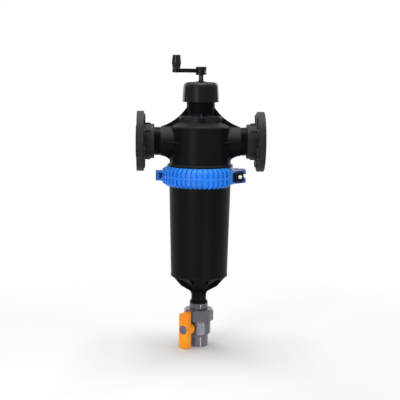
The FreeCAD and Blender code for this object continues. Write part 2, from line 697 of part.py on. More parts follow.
def hinge_outline(side):
    """Plan of one hinge knuckle with its arm to the clamp's web."""
    return [
        ("-(clamp_web_radius - 1)", f"{side} * (clamp_split + 2)"),
        ("-(clamp_rib_radius + 2)", f"{side} * clamp_split"),
        ("hinge_x + hinge_knuckle_radius - 1", f"{-side} * 4"),
        ("hinge_x", f"{-side} * hinge_knuckle_radius", f"{-side} * hinge_knuckle_radius"),
        ("hinge_x - hinge_knuckle_radius", "0", f"{-side} * hinge_knuckle_radius"),
        ("hinge_x", f"{side} * hinge_knuckle_radius"),
        ("-(clamp_web_radius - 1) * cos(13)", f"{side} * (clamp_web_radius - 1) * sin(13)"),
    ]


def lug_outline(side, near, far):
    """Plan of a closing lug, from the clamp's web out to its end."""
    return [
        ("clamp_web_radius - 3", f"{side} * ({near})"),
        ("lug_end", f"{side} * ({near})"),
        ("lug_end", f"{side} * ({far})"),
        ("(clamp_web_radius - 1) * cos(closing_angle)",
         f"{side} * (clamp_web_radius - 1) * sin(closing_angle)"),
    ]


def front_fittings(body):
    """Two hinge ears and the slotted closing lug."""
    low = "lug_middle - hinge_height / 2"
    for start in (low, f"{low} + hinge_height - hinge_ear"):
        block(body, "XY_Plane", hinge_outline(-1), start, "hinge_ear")
    round_block(body, "XY_Plane", "hinge_x", "0", "hinge_pin_radius + running_fit",
                f"{low} - 1", "hinge_height + 2", cut=True)
    low = "lug_middle - lug_height / 2"
    far = "lug_near + lug_depth"
    for start in (low, f"{low} + lug_height - lug_plate"):
        block(body, "XY_Plane", lug_outline(-1, "lug_near", far), start, "lug_plate")
    block(body, "XY_Plane", box_corners("clamp_web_radius - 3", "lug_end", f"-({far})", "-lug_near"),
          low, "lug_height")
    block(body, "XY_Plane",
          box_corners("swing_x - swing_slot / 2", "lug_end + 1", f"-({far} + 1)", "-(lug_near - 1)"),
          "lug_middle - swing_slot / 2", "swing_slot", cut=True)


def back_fittings(body):
    """Middle hinge knuckle and the forked lug that holds the swing bolt."""
    low = "lug_middle - hinge_height / 2 + hinge_ear + 0.3"
    height = "hinge_height - 2 * hinge_ear - 0.6"
    block(body, "XY_Plane", hinge_outline(1), low, height)
    round_block(body, "XY_Plane", "hinge_x", "0", "hinge_pin_radius + running_fit",
                f"{low} - 1", f"{height} + 2", cut=True)
    far = "swing_pin_depth + swing_eye_radius"
    low = "lug_middle - lug_height / 2"
    block(body, "XY_Plane", lug_outline(1, "clamp_split + 1", far), low, "lug_height")
    slot = "swing_slot + 1"
    block(body, "XY_Plane",
          box_corners("clamp_web_radius", "lug_end + 1", "0", f"{far} + 30"),
          f"lug_middle - ({slot}) / 2", slot, cut=True)
    round_block(body, "XY_Plane", "swing_x", "swing_pin_depth", "swing_pin_radius + running_fit",
                f"{low} - 1", "lug_height + 2", cut=True)


def clamp_fastening():
    """Hinge pin, swing bolt with its pin, washer and round nut."""
    body = new_body("clamp_hinge_pin")
    round_block(body, "XY_Plane", "hinge_x", "0", "hinge_pin_radius",
                "lug_middle - hinge_height / 2", "hinge_height")
    body = new_body("clamp_bolt_pin")
    round_block(body, "XY_Plane", "swing_x", "swing_pin_depth", "swing_pin_radius",
                "lug_middle - lug_height / 2", "lug_height")
    outer_face = "(lug_near + lug_depth)"
    body = new_body("clamp_swing_bolt")
    round_block(body, "XY_Plane", "swing_x", "swing_pin_depth", "swing_eye_radius",
                "lug_middle - swing_slot / 2", "swing_slot")
    washer_face = f"({outer_face} + washer_thick)"
    reach = f"({washer_face} + clamp_nut_length + bolt_end)"
    sketch = new_sketch(body, "XZ_Plane", "-swing_pin_depth")
    draw_circle(sketch, "swing_x", "lug_middle", "swing_bolt_radius")
    extrude(body, sketch, f"swing_pin_depth + {reach}")
    round_block(body, "XY_Plane", "swing_x", "swing_pin_depth", "swing_pin_radius + running_fit",
                "lug_middle - swing_slot", "2 * swing_slot", cut=True)
    for name, radius, start, length in (
            ("clamp_washer", "washer_radius", outer_face, "washer_thick"),
            ("clamp_nut", "clamp_nut_radius", washer_face, "clamp_nut_length")):
        body = new_body(name)
        sketch = new_sketch(body, "XZ_Plane", start)
        draw_circle(sketch, "swing_x", "lug_middle", radius)
        draw_circle(sketch, "swing_x", "lug_middle", "swing_bolt_radius")
        extrude(body, sketch, length)


def flange_adapter(name, x, turn):
    """Screwed-on flange: raised face, bolt holes with seats, and a hub with lugs."""
    body = new_body(name, x=x, turn=turn)
    back = "flange_face_height + flange_thick"
    mouth = f"{back} + hub_length"
    shoulder = "spigot_setback - port_seal_thick"
    thread = "port_thread_radius + thread_clearance"
    turn_outline(body, [
        ("0", "port_bore_radius"),
        ("0", "flange_face_radius"),
        ("flange_face_height", "flange_face_radius"),
        ("flange_face_height", "flange_radius - 1.5"),
        ("flange_face_height + 1.5", "flange_radius"),
        (f"{back} - 1.5", "flange_radius"),
        (back, "flange_radius - 1.5"),
        (back, "hub_radius + 4", "-4"),
        (f"{back} + 4", "hub_radius"),
        (f"{mouth} - 1.5", "hub_radius"),
        (mouth, "hub_radius - 1.5"),
        (mouth, thread),
        (shoulder, thread),
        (shoulder, "port_bore_radius"),
    ], axis="H_Axis")
    tilt = "(180 / bolt_hole_count)"
    u = f"bolt_circle_radius * sin{tilt}"
    v = f"bolt_circle_radius * cos{tilt}"
    boss = round_block(body, "YZ_Plane", u, v, "bolt_boss_radius", f"{back} - 1", "bolt_boss_height + 1")
    around(body, boss, "bolt_hole_count")
    hole = round_block(body, "YZ_Plane", u, v, "bolt_hole_radius", "0",
                       f"{back} + bolt_boss_height + 1", cut=True)
    around(body, hole, "bolt_hole_count")
    lug = block(body, "YZ_Plane", box_corners(
        "-hub_lug_width / 2", "hub_lug_width / 2", "hub_radius - 2", "hub_radius + hub_lug_height"),
        f"{back} - 1", "hub_lug_length + 1")
    around(body, lug, "bolt_hole_count")
    return body


def port_seal(name, x, turn):
    """Flat ring between a port's end and its flange adapter."""
    body = new_body(name, x=x, turn=turn)
    turn_outline(body, box_corners(
        "spigot_setback - port_seal_thick", "spigot_setback",
        "port_bore_radius + 0.5", "port_thread_radius - 0.5"), axis="H_Axis")
    return body


def top_cap():
    """Screwed cap with thin ribs that run up its side and over its domed top."""
    body = new_body("top_cap")
    turn_outline(body, [
        ("0", "cap_bottom"),
        ("cap_radius - 1", "cap_bottom"),
        ("cap_radius", "cap_bottom + 1"),
        ("cap_top_radius", "cap_shoulder", "cap_round"),
        ("cap_top_radius - cap_round", "cap_edge_top"),
        ("cap_boss_radius", "cap_top"),
        ("cap_boss_radius", "cap_top + 1.5"),
        ("0", "cap_top + 1.5"),
    ])
    sketch = new_sketch(body, "YZ_Plane")
    draw(sketch, [
        ("neck_radius + 3", "cap_bottom + 1"),
        ("cap_radius + cap_rib_height", "cap_bottom + 1"),
        ("cap_top_radius + cap_rib_height", "cap_shoulder", "cap_round + cap_rib_height"),
        ("cap_top_radius - cap_round", "cap_edge_top + cap_rib_height"),
        ("cap_boss_radius - 2", "cap_top + cap_rib_height"),
        ("cap_boss_radius - 2", "cap_roof + 2"),
        ("neck_radius + 3", "cap_roof + 2"),
    ])
    rib = extrude(body, sketch, "cap_rib_width", both=True)
    around(body, rib, "cap_rib_count", axis="V_Axis")
    turn_outline(body, [
        ("0", "cap_bottom - 1"),
        ("neck_radius + thread_clearance", "cap_bottom - 1"),
        ("neck_radius + thread_clearance", "cap_roof"),
        ("bush_radius", "cap_roof"),
        ("bush_radius", "cap_top + 2"),
        ("0", "cap_top + 2"),
    ], cut=True)
    return body


def shaft_bush():
    """Flanged bush that the crank shaft turns in, with a groove for its seal."""
    body = new_body("shaft_bush")
    bore = "shaft_radius + running_fit"
    turn_outline(body, [
        (bore, "cap_roof - 4"),
        ("bush_radius + 4", "cap_roof - 4"),
        ("bush_radius + 4", "cap_roof"),
        ("bush_radius", "cap_roof"),
        ("bush_radius", "cap_top + 3"),
        (bore, "cap_top + 3"),
        (bore, "cap_roof + 10"),
        (f"{bore} + 2.4", "cap_roof + 10"),
        (f"{bore} + 2.4", "cap_roof + 7"),
        (bore, "cap_roof + 7"),
    ])
    return body


def crank_shaft():
    """Long shaft from the crank's head down to the bearing in the bowl."""
    body = new_body("crank_shaft")
    turn_outline(body, [
        ("0", "shaft_bottom"),
        ("shaft_radius - 1.5", "shaft_bottom"),
        ("shaft_radius", "shaft_bottom + 1.5"),
        ("shaft_radius", "shaft_top - 1"),
        ("shaft_radius - 1", "shaft_top"),
        ("0", "shaft_top"),
    ])
    sketch = new_sketch(body, "YZ_Plane")
    draw_circle(sketch, "0", "crank_head_bottom + 8", "crank_bolt_radius")
    extrude(body, sketch, "4 * shaft_radius", cut=True, both=True)
    return body


def crank_arm():
    """Crank: head round the shaft, level arm and the eye that carries the grip's pin."""
    body = new_body("crank_arm")
    round_block(body, "XY_Plane", "0", "0", "crank_head_radius", "crank_head_bottom", "crank_head_height")
    block(body, "XY_Plane", box_corners("-crank_length", "0", "-arm_width / 2", "arm_width / 2"),
          "arm_bottom", "arm_height")
    round_block(body, "XY_Plane", "-crank_length", "0", "arm_eye_radius", "arm_bottom", "arm_height")
    # Grooves along both sides of the arm
    groove = block(body, "XZ_Plane", box_corners(
        "-(crank_length - arm_eye_radius - 2)", "-(crank_head_radius + 2)",
        "arm_bottom + arm_edge", "arm_top - arm_edge"),
        "arm_width / 2 - arm_groove", "arm_groove + 1", cut=True)
    other_side(body, groove, "XZ_Plane")
    # Open notch for the bolt's head
    block(body, "XY_Plane", box_corners(
        "shaft_radius + 2.5", "crank_head_radius + 1", "-crank_head_radius", "crank_head_radius"),
        "crank_head_bottom - 1", "crank_head_height / 2 + 3", cut=True)
    round_block(body, "XY_Plane", "0", "0", "shaft_radius", "crank_head_bottom - 1",
                "shaft_top - crank_head_bottom + 1", cut=True)
    round_block(body, "XY_Plane", "-crank_length", "0", "grip_pin_radius - 1",
                "arm_bottom - 1", "arm_height + 2", cut=True)
    round_block(body, "YZ_Plane", "0", "crank_head_bottom + 8", "crank_bolt_radius",
                "-(crank_head_radius - 4)", "2 * crank_head_radius", cut=True)
    return body


def crank_bolt():
    """Hexagon bolt through the crank's head and the shaft."""
    body = new_body("crank_bolt", z="crank_head_bottom + 8")
    seat = "shaft_radius + 2.5"
    round_block(body, "YZ_Plane", "0", "0", "crank_bolt_radius",
                "-(crank_head_radius - 4)", f"crank_head_radius - 4 + {seat}")
    block(body, "YZ_Plane", [
        (f"crank_bolt_head * cos({angle})", f"crank_bolt_head * sin({angle})")
        for angle in range(0, 360, 60)], seat, "crank_bolt_head_height")
    return body


def grip_pin():
    """Headed pin riveted through the arm's eye."""
    body = new_body("grip_pin", x="axis_x - crank_length")
    top = "(grip_foot + grip_length)"
    turn_outline(body, [
        ("0", "arm_bottom - 3"),
        ("grip_pin_radius - 1.5", "arm_bottom - 3"),
        ("grip_pin_radius - 1", "arm_bottom - 2.5"),
        ("grip_pin_radius - 1", "arm_top"),
        ("grip_pin_radius", "arm_top"),
        ("grip_pin_radius", f"{top} - 5"),
        ("grip_pin_radius + 3", f"{top} - 5"),
        ("grip_pin_radius + 3", f"{top} - 2"),
        ("grip_pin_radius + 2", f"{top} - 1"),
        ("0", f"{top} - 1"),
    ])
    return body


def crank_grip():
    """Barrel grip, tapered both ways, with a recess for the pin's head."""
    body = new_body("crank_grip", x="axis_x - crank_length")
    top = "(grip_foot + grip_length)"
    bore = "grip_pin_radius + running_fit"
    turn_outline(body, [
        (bore, "grip_foot"),
        ("grip_foot_radius", "grip_foot"),
        ("grip_belly_radius", "grip_foot + 0.4 * grip_length"),
        ("grip_top_radius", f"{top} - 1"),
        ("grip_top_radius - 1", top),
        ("grip_pin_radius + 4", top),
        ("grip_pin_radius + 4", f"{top} - 5.3"),
        (bore, f"{top} - 5.3"),
    ])
    return body


def screen_cage():
    """Moulded cage: collar in the duct, windowed wall, and a lower end over the bowl's seat."""
    body = new_body("screen_cage")
    outer = "duct_radius + cage_step"
    collar = "duct_radius - screen_fit"
    turn_outline(body, [
        (f"{collar} - screen_collar_wall", "mesh_top"),
        ("cage_inner", "mesh_top"),
        ("cage_inner", "mesh_bottom"),
        ("seat_ring_outer + screen_fit", "mesh_bottom"),
        ("seat_ring_outer + screen_fit", "cage_bottom"),
        (outer, "cage_bottom"),
        (outer, "cage_top"),
        (collar, "cage_top"),
        (collar, "cage_top + 6"),
        (f"{collar} - 2.4", "cage_top + 6"),
        (f"{collar} - 2.4", "cage_top + 9"),
        (collar, "cage_top + 9"),
        (collar, "cage_top + screen_collar_length - 1"),
        (f"{collar} - 1", "cage_top + screen_collar_length"),
        (f"{collar} - screen_collar_wall", "cage_top + screen_collar_length"),
    ])
    # One column of windows, cut outwards from the axis
    sketch = new_sketch(body, "XZ_Plane")
    count = round(size_of("window_rows"))
    pitch = "((mesh_top - mesh_bottom - 12 + window_gap) / window_rows)"
    for row in range(count):
        low = f"mesh_bottom + 6 + {row} * {pitch}"
        draw(sketch, box_corners("-window_width / 2", "window_width / 2", low,
                                 f"{low} + {pitch} - window_gap"))
    windows = extrude(body, sketch, "2 * duct_radius", cut=True)
    around(body, windows, "window_columns", axis="V_Axis")
    return body


def bottom_bearing():
    """Spider in the bowl's seat ring: rim, three arms and the hub that the shaft turns in."""
    body = new_body("bottom_bearing")
    rim = "seat_ring_inner - 0.1"
    turn_outline(body, box_corners(f"{rim} - 4.5", rim, "floor_top", "seat_top - 3"))
    arm = block(body, "XY_Plane", box_corners("3", "seat_ring_inner - 2", "-3.5", "3.5"),
                "floor_top + 2", "seat_ring_height - 6")
    around(body, arm, "3")
    round_block(body, "XY_Plane", "0", "0", "shaft_radius + 5", "floor_top + 1", "seat_ring_height")
    round_block(body, "XY_Plane", "0", "0", "shaft_radius + running_fit",
                "floor_top", "seat_ring_height + 2", cut=True)
    return body


def brush_holder():
    """Ladder frame clipped on the shaft, with a rail down each side."""
    body = new_body("brush_holder")
    sketch = new_sketch(body, "XZ_Plane")
    draw(sketch, box_corners("-rail_outer", "rail_outer", "brush_bottom", "brush_top"))
    middle = "(brush_top + brush_bottom) / 2"
    for left, right in (("-(rail_outer - brush_rail)", "-shaft_radius"),
                        ("shaft_radius", "rail_outer - brush_rail")):
        draw(sketch, box_corners(left, right, "brush_bottom + 12", f"{middle} - 6"))
        draw(sketch, box_corners(left, right, f"{middle} + 6", "brush_top - 12"))
    extrude(body, sketch, "brush_width", both=True)
    round_block(body, "XY_Plane", "0", "0", "shaft_radius + 4", "brush_bottom", "brush_top - brush_bottom")
    round_block(body, "XY_Plane", "0", "0", "shaft_radius",
                "brush_bottom - 1", "brush_top - brush_bottom + 2", cut=True)
    return body


def brush_strips():
    """Two bristle strips, one on each rail, kept as one group."""
    strips = []
    for side, near in (("left", "-bristle_tip"), ("right", "rail_outer")):
        strip = doc.addObject("Part::Box", "brush_strip_" + side)
        bind(strip, "Length", "bristle_length")
        bind(strip, "Width", "bristle_width")
        bind(strip, "Height", "brush_top - brush_bottom")
        bind(strip, "Placement.Base.x", f"axis_x + {near}")
        bind(strip, "Placement.Base.y", "-bristle_width / 2")
        bind(strip, "Placement.Base.z", "brush_bottom")
        strips.append(strip)
    group = doc.addObject("Part::Compound", "brush_strips")
    group.Label = "brush_strips"
    group.Links = strips
    return group


def valve_piece(name):
    """A body of the drain valve: origin at the ball's centre, +X along the stem."""
    return new_body(name, z="ball_z", turn="valve_turn")


def valve_connector():
    """Top connector, screwed on the bowl's spigot, with the flange that the union nut pulls."""
    body = valve_piece("valve_connector")
    turn_outline(body, [
        ("drain_bore_radius", "connector_bottom"),
        ("connector_flange_radius", "connector_bottom"),
        ("connector_flange_radius", "connector_bottom + connector_flange"),
        ("connector_radius", "connector_bottom + connector_flange"),
        ("connector_radius", "connector_top - 1"),
        ("connector_radius - 1", "connector_top"),
        ("spigot_radius + thread_clearance", "connector_top"),
        ("spigot_radius + thread_clearance", "connector_top - spigot_length - 0.5"),
        ("drain_bore_radius", "connector_top - spigot_length - 0.5"),
    ])
    return body


def facet_corners(radius, turn):
    """Corners of the valve's many-sided outline, the first one turned away from the stem."""
    step = "360 / facet_count"
    return [(f"{radius} * cos({turn} + {number} * {step})", f"{radius} * sin({turn} + {number} * {step})")
            for number in range(round(size_of("facet_count")))]


def union_nut():
    """Many-sided union nut with the lip that holds the connector."""
    body = valve_piece("union_nut")
    block(body, "XY_Plane", facet_corners("union_radius", "union_turn"), "union_bottom", "union_length")
    turn_outline(body, [
        ("union_radius - union_chamfer", "union_top + 1"),
        ("union_radius - union_chamfer", "union_top"),
        ("union_radius + 1", "union_top - union_chamfer - 1"),
        ("union_radius + 1", "union_top + 1"),
    ], cut=True)
    turn_outline(body, [
        ("0", "union_bottom - 1"),
        ("valve_radius + thread_clearance", "union_bottom - 1"),
        ("valve_radius + thread_clearance", "union_top - union_lip"),
        ("connector_radius + thread_clearance", "union_top - union_lip"),
        ("connector_radius + thread_clearance", "union_top + 1"),
        ("0", "union_top + 1"),
    ], cut=True)
    return body


def valve_body():
    """Valve body: ball chamber open at the top, stem boss and lower socket."""
    body = valve_piece("valve_body")
    turn_outline(body, [
        ("0", "valve_bottom"),
        ("socket_radius - 1", "valve_bottom"),
        ("socket_radius", "valve_bottom + 1"),
        ("socket_radius", "socket_top"),
        ("valve_radius - 3", "-valve_below_ball"),
        ("valve_radius - 3", "union_bottom - 3"),
        ("valve_radius", "union_bottom - 1"),
        ("valve_radius", "valve_top_to_ball - 1"),
        ("valve_radius - 1", "valve_top_to_ball"),
        ("0", "valve_top_to_ball"),
    ])
    block(body, "XY_Plane", facet_corners("valve_corner", "union_turn + 180 / facet_count"),
          "-valve_below_ball - 2", "union_bottom - 0.6 + valve_below_ball + 2")
    turn_outline(body, [
        ("socket_radius", "-valve_below_ball - 3"),
        ("valve_corner + 1", "-valve_below_ball - 3"),
        ("valve_corner + 1", "-valve_below_ball + 0.5"),
        ("valve_corner - 3", "-valve_below_ball - 2.5"),
    ], cut=True)
    round_block(body, "YZ_Plane", "0", "0", "stem_boss_radius", "ball_room", "stem_boss_reach - ball_room")
    turn_outline(body, [
        ("0", "valve_bottom - 1"),
        ("spigot_radius", "valve_bottom - 1"),
        ("spigot_radius", "valve_bottom + socket_thread_depth"),
        ("drain_bore_radius", "valve_bottom + socket_thread_depth"),
        ("drain_bore_radius", "-(ball_seat_z + ball_seat_height)"),
        ("ball_seat_radius + 0.1", "-(ball_seat_z + ball_seat_height)"),
        ("ball_seat_radius + 0.1", "-ball_seat_z"),
        ("ball_room", "-ball_seat_z + 1"),
        ("ball_room", "valve_top_to_ball + 1"),
        ("0", "valve_top_to_ball + 1"),
    ], cut=True)
    stem = "stem_radius + running_fit"
    turn_outline(body, [
        ("0", "0"),
        ("stem_shoulder_end", "0"),
        ("stem_boss_reach + 1", "0"),
        ("stem_boss_reach + 1", stem),
        ("stem_boss_reach - 4", stem),
        ("stem_boss_reach - 4", f"{stem} + 2.4"),
        ("stem_boss_reach - 7", f"{stem} + 2.4"),
        ("stem_boss_reach - 7", stem),
        ("stem_shoulder_end", stem),
        ("stem_shoulder_end", "stem_radius + 3"),
        ("0", "stem_radius + 3"),
    ], axis="H_Axis", cut=True)
    return body


def seat_carrier():
    """Screwed ring that holds the upper ball seat."""
    body = valve_piece("seat_carrier")
    turn_outline(body, [
        ("drain_bore_radius", "carrier_bottom"),
        ("ball_seat_radius + 0.1", "carrier_bottom"),
        ("ball_seat_radius + 0.1", "ball_seat_z + 1"),
        ("ball_room - 0.1", "ball_seat_z + 1"),
        ("ball_room - 0.1", "valve_top_to_ball - 0.2"),
        ("drain_bore_radius", "valve_top_to_ball - 0.2"),
    ])
    return body


def ball_seat(name, side):
    """Soft ring with a hollow that fits the ball; side is 1 above it and -1 below it."""
    body = valve_piece(name)
    near = f"{side} * ball_seat_z"
    far = f"{side} * (ball_seat_z + ball_seat_height)"
    low, high = (near, far) if side > 0 else (far, near)
    turn_outline(body, box_corners("drain_bore_radius + 0.3", "ball_seat_radius", low, high))
    radius = "(ball_radius + ball_seat_fit)"
    turn_outline(body, [
        ("0", f"-{radius}", radius),
        (radius, "0", radius),
        ("0", radius),
    ], cut=True)
    return body


def valve_ball():
    """Bored ball with the slot that the stem turns it by."""
    ball = doc.addObject("Part::Sphere", "ball_blank")
    bind(ball, "Radius", "ball_radius")
    bore = doc.addObject("Part::Cylinder", "ball_bore")
    bind(bore, "Radius", "drain_bore_radius")
    bind(bore, "Height", "2 * ball_radius")
    bind(bore, "Placement.Base.z", "-ball_radius")
    slot = doc.addObject("Part::Box", "ball_slot")
    bind(slot, "Length", "ball_radius")
    bind(slot, "Width", "6")
    bind(slot, "Height", "2 * ball_radius")
    bind(slot, "Placement.Base.x", "ball_radius - 5")
    slot.Width = 6
    slot.Placement.Base.y = -3
    bind(slot, "Placement.Base.z", "-ball_radius")
    cutters = doc.addObject("Part::MultiFuse", "ball_cutters")
    cutters.Shapes = [bore, slot]
    cut = doc.addObject("Part::Cut", "valve_ball")
    cut.Label = "valve_ball"
    cut.Base = ball
    cut.Tool = cutters
    place = Vector(size_of("axis_x"), 0, size_of("ball_z"))
    cut.Placement = FreeCAD.Placement(place, FreeCAD.Rotation(Vector(0, 0, 1), size_of("valve_turn")))
    bind(cut, "Placement.Base.x", "axis_x")
    bind(cut, "Placement.Base.z", "ball_z")
    bind(cut, "Placement.Rotation.Angle", "valve_turn")
    return cut


def valve_stem():
    """Stem with a shoulder inside the body and a tang in the ball's slot."""
    body = valve_piece("valve_stem")
    turn_outline(body, [
        ("ball_radius + 0.2", "0"),
        ("stem_end", "0"),
        ("stem_end", "stem_radius - 1"),
        ("stem_end - 1", "stem_radius"),
        ("stem_shoulder_end - 0.1", "stem_radius"),
        ("stem_shoulder_end - 0.1", "stem_radius + 2.5"),
        ("ball_radius + 0.2", "stem_radius + 2.5"),
    ], axis="H_Axis")
    block(body, "YZ_Plane", box_corners("-2.9", "2.9", "-stem_radius + 1", "stem_radius - 1"),
          "ball_radius - 4.5", "5")
    return body


def valve_handle():
    """Two-winged handle, hollow behind, with a round hub and a recess for its cap."""
    body = valve_piece("valve_handle")
    half = "handle_width / 2"
    long = "handle_length / 2"
    corner = "8"
    sketch = new_sketch(body, "YZ_Plane", "handle_back")
    draw(sketch, [
        (f"-({half})", f"-({long}) + {corner}", corner),
        (f"-({half}) + {corner}", f"-({long})"),
        (f"{half} - {corner}", f"-({long})", corner),
        (half, f"-({long}) + {corner}"),
        (half, f"{long} - {corner}", corner),
        (f"{half} - {corner}", long),
        (f"-({half}) + {corner} / 2", f"{long} - handle_slant", corner),
        (f"-({half})", f"{long} - handle_slant - {corner} / 2"),
    ])
    extrude(body, sketch, "handle_depth")
    inner = f"({half} - handle_wall)"
    sketch = new_sketch(body, "YZ_Plane", "handle_back - 1")
    for side in (1, -1):
        low, high = f"{side} * handle_hub_radius", f"{side} * ({long} - handle_slant - handle_wall)"
        if side < 0:
            low, high = high, low
        draw(sketch, box_corners(f"-{inner}", inner, low, high))
    extrude(body, sketch, "handle_depth - handle_wall + 1", cut=True)
    round_block(body, "YZ_Plane", "0", "0", "handle_hub_radius",
                "stem_boss_reach + 0.5", "handle_face - stem_boss_reach - 3")
    round_block(body, "YZ_Plane", "0", "0", "stem_radius", "stem_boss_reach",
                "stem_end - stem_boss_reach", cut=True)
    round_block(body, "YZ_Plane", "0", "0", "handle_cap_radius + 0.2",
                "handle_face - 3", "4", cut=True)
    return body


def handle_cap():
    """Round cap in the handle's recess."""
    body = valve_piece("handle_cap")
    turn_outline(body, [
        ("handle_face - 3", "0"),
        ("handle_face + 1", "0"),
        ("handle_face + 1", "handle_cap_radius - 1.5"),
        ("handle_face", "handle_cap_radius"),
        ("handle_face - 3", "handle_cap_radius"),
    ], axis="H_Axis")
    return body


def stem_seal():
    """Seal ring round the valve's stem."""
    body = valve_piece("stem_seal")
    stem = "stem_radius + running_fit"
    turn_outline(body, box_corners("stem_boss_reach - 6.9", "stem_boss_reach - 4.1",
                                   stem, f"{stem} + 2.3"), axis="H_Axis")
    return body


def build():
    """Make every piece."""
    filter_head()
    filter_bowl()
    clamp_half("clamp_front", -1)
    clamp_half("clamp_back", 1)
    flange_adapter("inlet_flange", "0", None)
    flange_adapter("outlet_flange", "face_to_face", "180")
    clamp_fastening()
    port_seal("inlet_seal", "0", None)
    port_seal("outlet_seal", "face_to_face", "180")
    o_ring("body_seal", "seal_radius", "seal_section", "joint - seal_section")
    top_cap()
    ring("cap_seal", "neck_bore_radius + 0.5", "neck_radius - 0.5", "neck_top", "cap_roof")
    shaft_bush()
    ring("shaft_seal", "shaft_radius + running_fit", "shaft_radius + running_fit + 2.3",
         "cap_roof + 7.1", "cap_roof + 9.9")
    ring("shaft_collar", "shaft_radius", "shaft_radius + 6", "cap_roof - 9", "cap_roof - 4.3")
    crank_shaft()
    crank_arm()
    crank_bolt()
    grip_pin()
    crank_grip()
    screen_cage()
    ring("screen_mesh", "mesh_inner", "mesh_outer", "mesh_bottom", "mesh_top")
    collar = "duct_radius - screen_fit"
    ring("screen_top_seal", f"{collar} - 2.3", "duct_radius - 0.05", "cage_top + 6.1", "cage_top + 8.9")
    ring("screen_bottom_seal", "seat_ring_inner + 0.5", "seat_ring_outer", "seat_top", "mesh_bottom - 0.1")
    bottom_bearing()
    brush_holder()
    brush_strips()
    valve_connector()
    union_nut()
    ring("connector_seal", "drain_bore_radius + 10", "connector_flange_radius - 2",
         "valve_top_to_ball", "connector_bottom", z="ball_z", turn="valve_turn")
    valve_body()
    seat_carrier()
    ball_seat("ball_seat_upper", 1)
    ball_seat("ball_seat_lower", -1)
    valve_ball()
    valve_stem()
    stem_seal()
    valve_handle()
    handle_cap()


def finished_pieces():
    """The objects that are pieces of the filter, each with its own label."""
    groups = [thing for thing in doc.Objects if thing.TypeId in ("Part::Compound", "Part::Cut")]
    bodies = [thing for thing in doc.Objects if thing.TypeId == "PartDesign::Body"]
    return bodies + groups


def write_out():
    """Check every object and write one file for each piece."""
    os.makedirs("parts", exist_ok=True)
    for thing in doc.Objects:
        if "Invalid" in thing.State or "Error" in thing.State:
            raise RuntimeError(f"{thing.Label} did not recompute: {thing.State}")
    for piece in finished_pieces():
        shape = piece.Shape
        if shape.isNull() or not shape.isValid():
            raise RuntimeError(f"{piece.Label} has no valid shape")
        shape.exportStep(f"parts/{piece.Label}.step")
        print(piece.Label, len(shape.Solids), "solid, volume", round(shape.Volume))


build()
doc.recompute()
write_out()
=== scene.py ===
"""Looks of the irrigation screen filter: threads, bristles, finishes, stage, lamps and camera."""
import json
import math
import bpy
import numpy as np
from mathutils import Matrix, Vector


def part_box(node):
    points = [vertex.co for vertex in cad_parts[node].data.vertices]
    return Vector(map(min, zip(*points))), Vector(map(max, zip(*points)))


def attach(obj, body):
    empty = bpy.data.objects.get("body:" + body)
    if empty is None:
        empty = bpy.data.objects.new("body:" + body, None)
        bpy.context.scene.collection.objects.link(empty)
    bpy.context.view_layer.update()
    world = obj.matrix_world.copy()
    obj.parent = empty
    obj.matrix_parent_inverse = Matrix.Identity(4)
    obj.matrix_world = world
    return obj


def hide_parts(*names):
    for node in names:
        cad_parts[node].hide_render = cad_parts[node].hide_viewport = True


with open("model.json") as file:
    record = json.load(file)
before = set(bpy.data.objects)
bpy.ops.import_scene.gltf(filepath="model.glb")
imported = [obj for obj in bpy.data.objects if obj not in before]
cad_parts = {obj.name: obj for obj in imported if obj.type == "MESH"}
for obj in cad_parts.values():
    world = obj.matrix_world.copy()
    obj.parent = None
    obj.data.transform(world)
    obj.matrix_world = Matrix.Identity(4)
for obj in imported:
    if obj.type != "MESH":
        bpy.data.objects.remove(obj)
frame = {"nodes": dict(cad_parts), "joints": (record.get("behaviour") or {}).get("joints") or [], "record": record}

bl_info = {
    "name": "Irrigation screen filter",
    "version": (1, 0, 0),
    "blender": (4, 5, 0),
    "location": "3D View > Sidebar > Filter",
    "description": "Threads, bristles, finishes, stage, lamps and camera of a three inch screen filter",
    "category": "Add Mesh",
}

MM = 0.001
TURN = 2 * math.pi

# The frame: its box, the filter's upright axis, its lowest height and each piece's finish
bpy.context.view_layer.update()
BOWL_LOW, BOWL_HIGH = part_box("filter_bowl")
AXIS_X = (BOWL_LOW[0] + BOWL_HIGH[0]) / 2
FLOOR_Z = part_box("valve_body")[0][2]
SLOT_OF = {row["node"]: row["material_slot"] for row in frame["record"]["subparts"]}

# Camera: width of its sensor in millimetres, and how far it sees in metres
SENSOR_WIDTH = 36.0
VIEW_END = 50.0

# Colours of painted light and shade, of mottling, of paler rings and of wear
STEP_PAINTED_HIGHLIGHT = (0.026, 0.028, 0.034, 1)
NECK_PAINTED_SHADE = (0.0004, 0.0004, 0.0004, 1)
PORT_ROOT_PAINTED_LIGHT = (0.045, 0.046, 0.05, 1)
PORT_THREAD_PAINTED_SHADE = (0.0012, 0.0012, 0.0013, 1)
FLANGE_PALE = (0.025, 0.026, 0.028, 1)
FLANGE_DARK = (0.004, 0.004, 0.0045, 1)
BOLT_HOLE_PALE = (0.11, 0.11, 0.115, 1)
CLAMP_POCKET_PAINTED_LIGHT = (0.03, 0.3, 0.95, 1)
CLAMP_FOOT_PAINTED_SHADE = (0.003, 0.012, 0.06, 1)
CLAMP_PAINTED_SHADE = (0.004, 0.01, 0.05, 1)
SHAFT_RUB = (0.12, 0.12, 0.125, 1)
MESH_OPENING_SHADE = (0.02, 0.02, 0.02, 1)


def length_setting(name, description, default):
    """A length that a user can change, in metres."""
    return bpy.props.FloatProperty(name=name, description=description, default=default, unit="LENGTH",
                                   precision=5)


def angle_setting(name, description, degrees):
    """An angle that a user can change."""
    return bpy.props.FloatProperty(name=name, description=description, default=math.radians(degrees),
                                   subtype="ANGLE")


def colour_setting(name, description, default):
    """A colour that a user can change."""
    return bpy.props.FloatVectorProperty(name=name, description=description, default=default,
                                         subtype="COLOR")


def power_setting(name, description, default):
    """A lamp's power that a user can change, in watts."""
    return bpy.props.FloatProperty(name=name, description=description, default=default, unit="POWER")


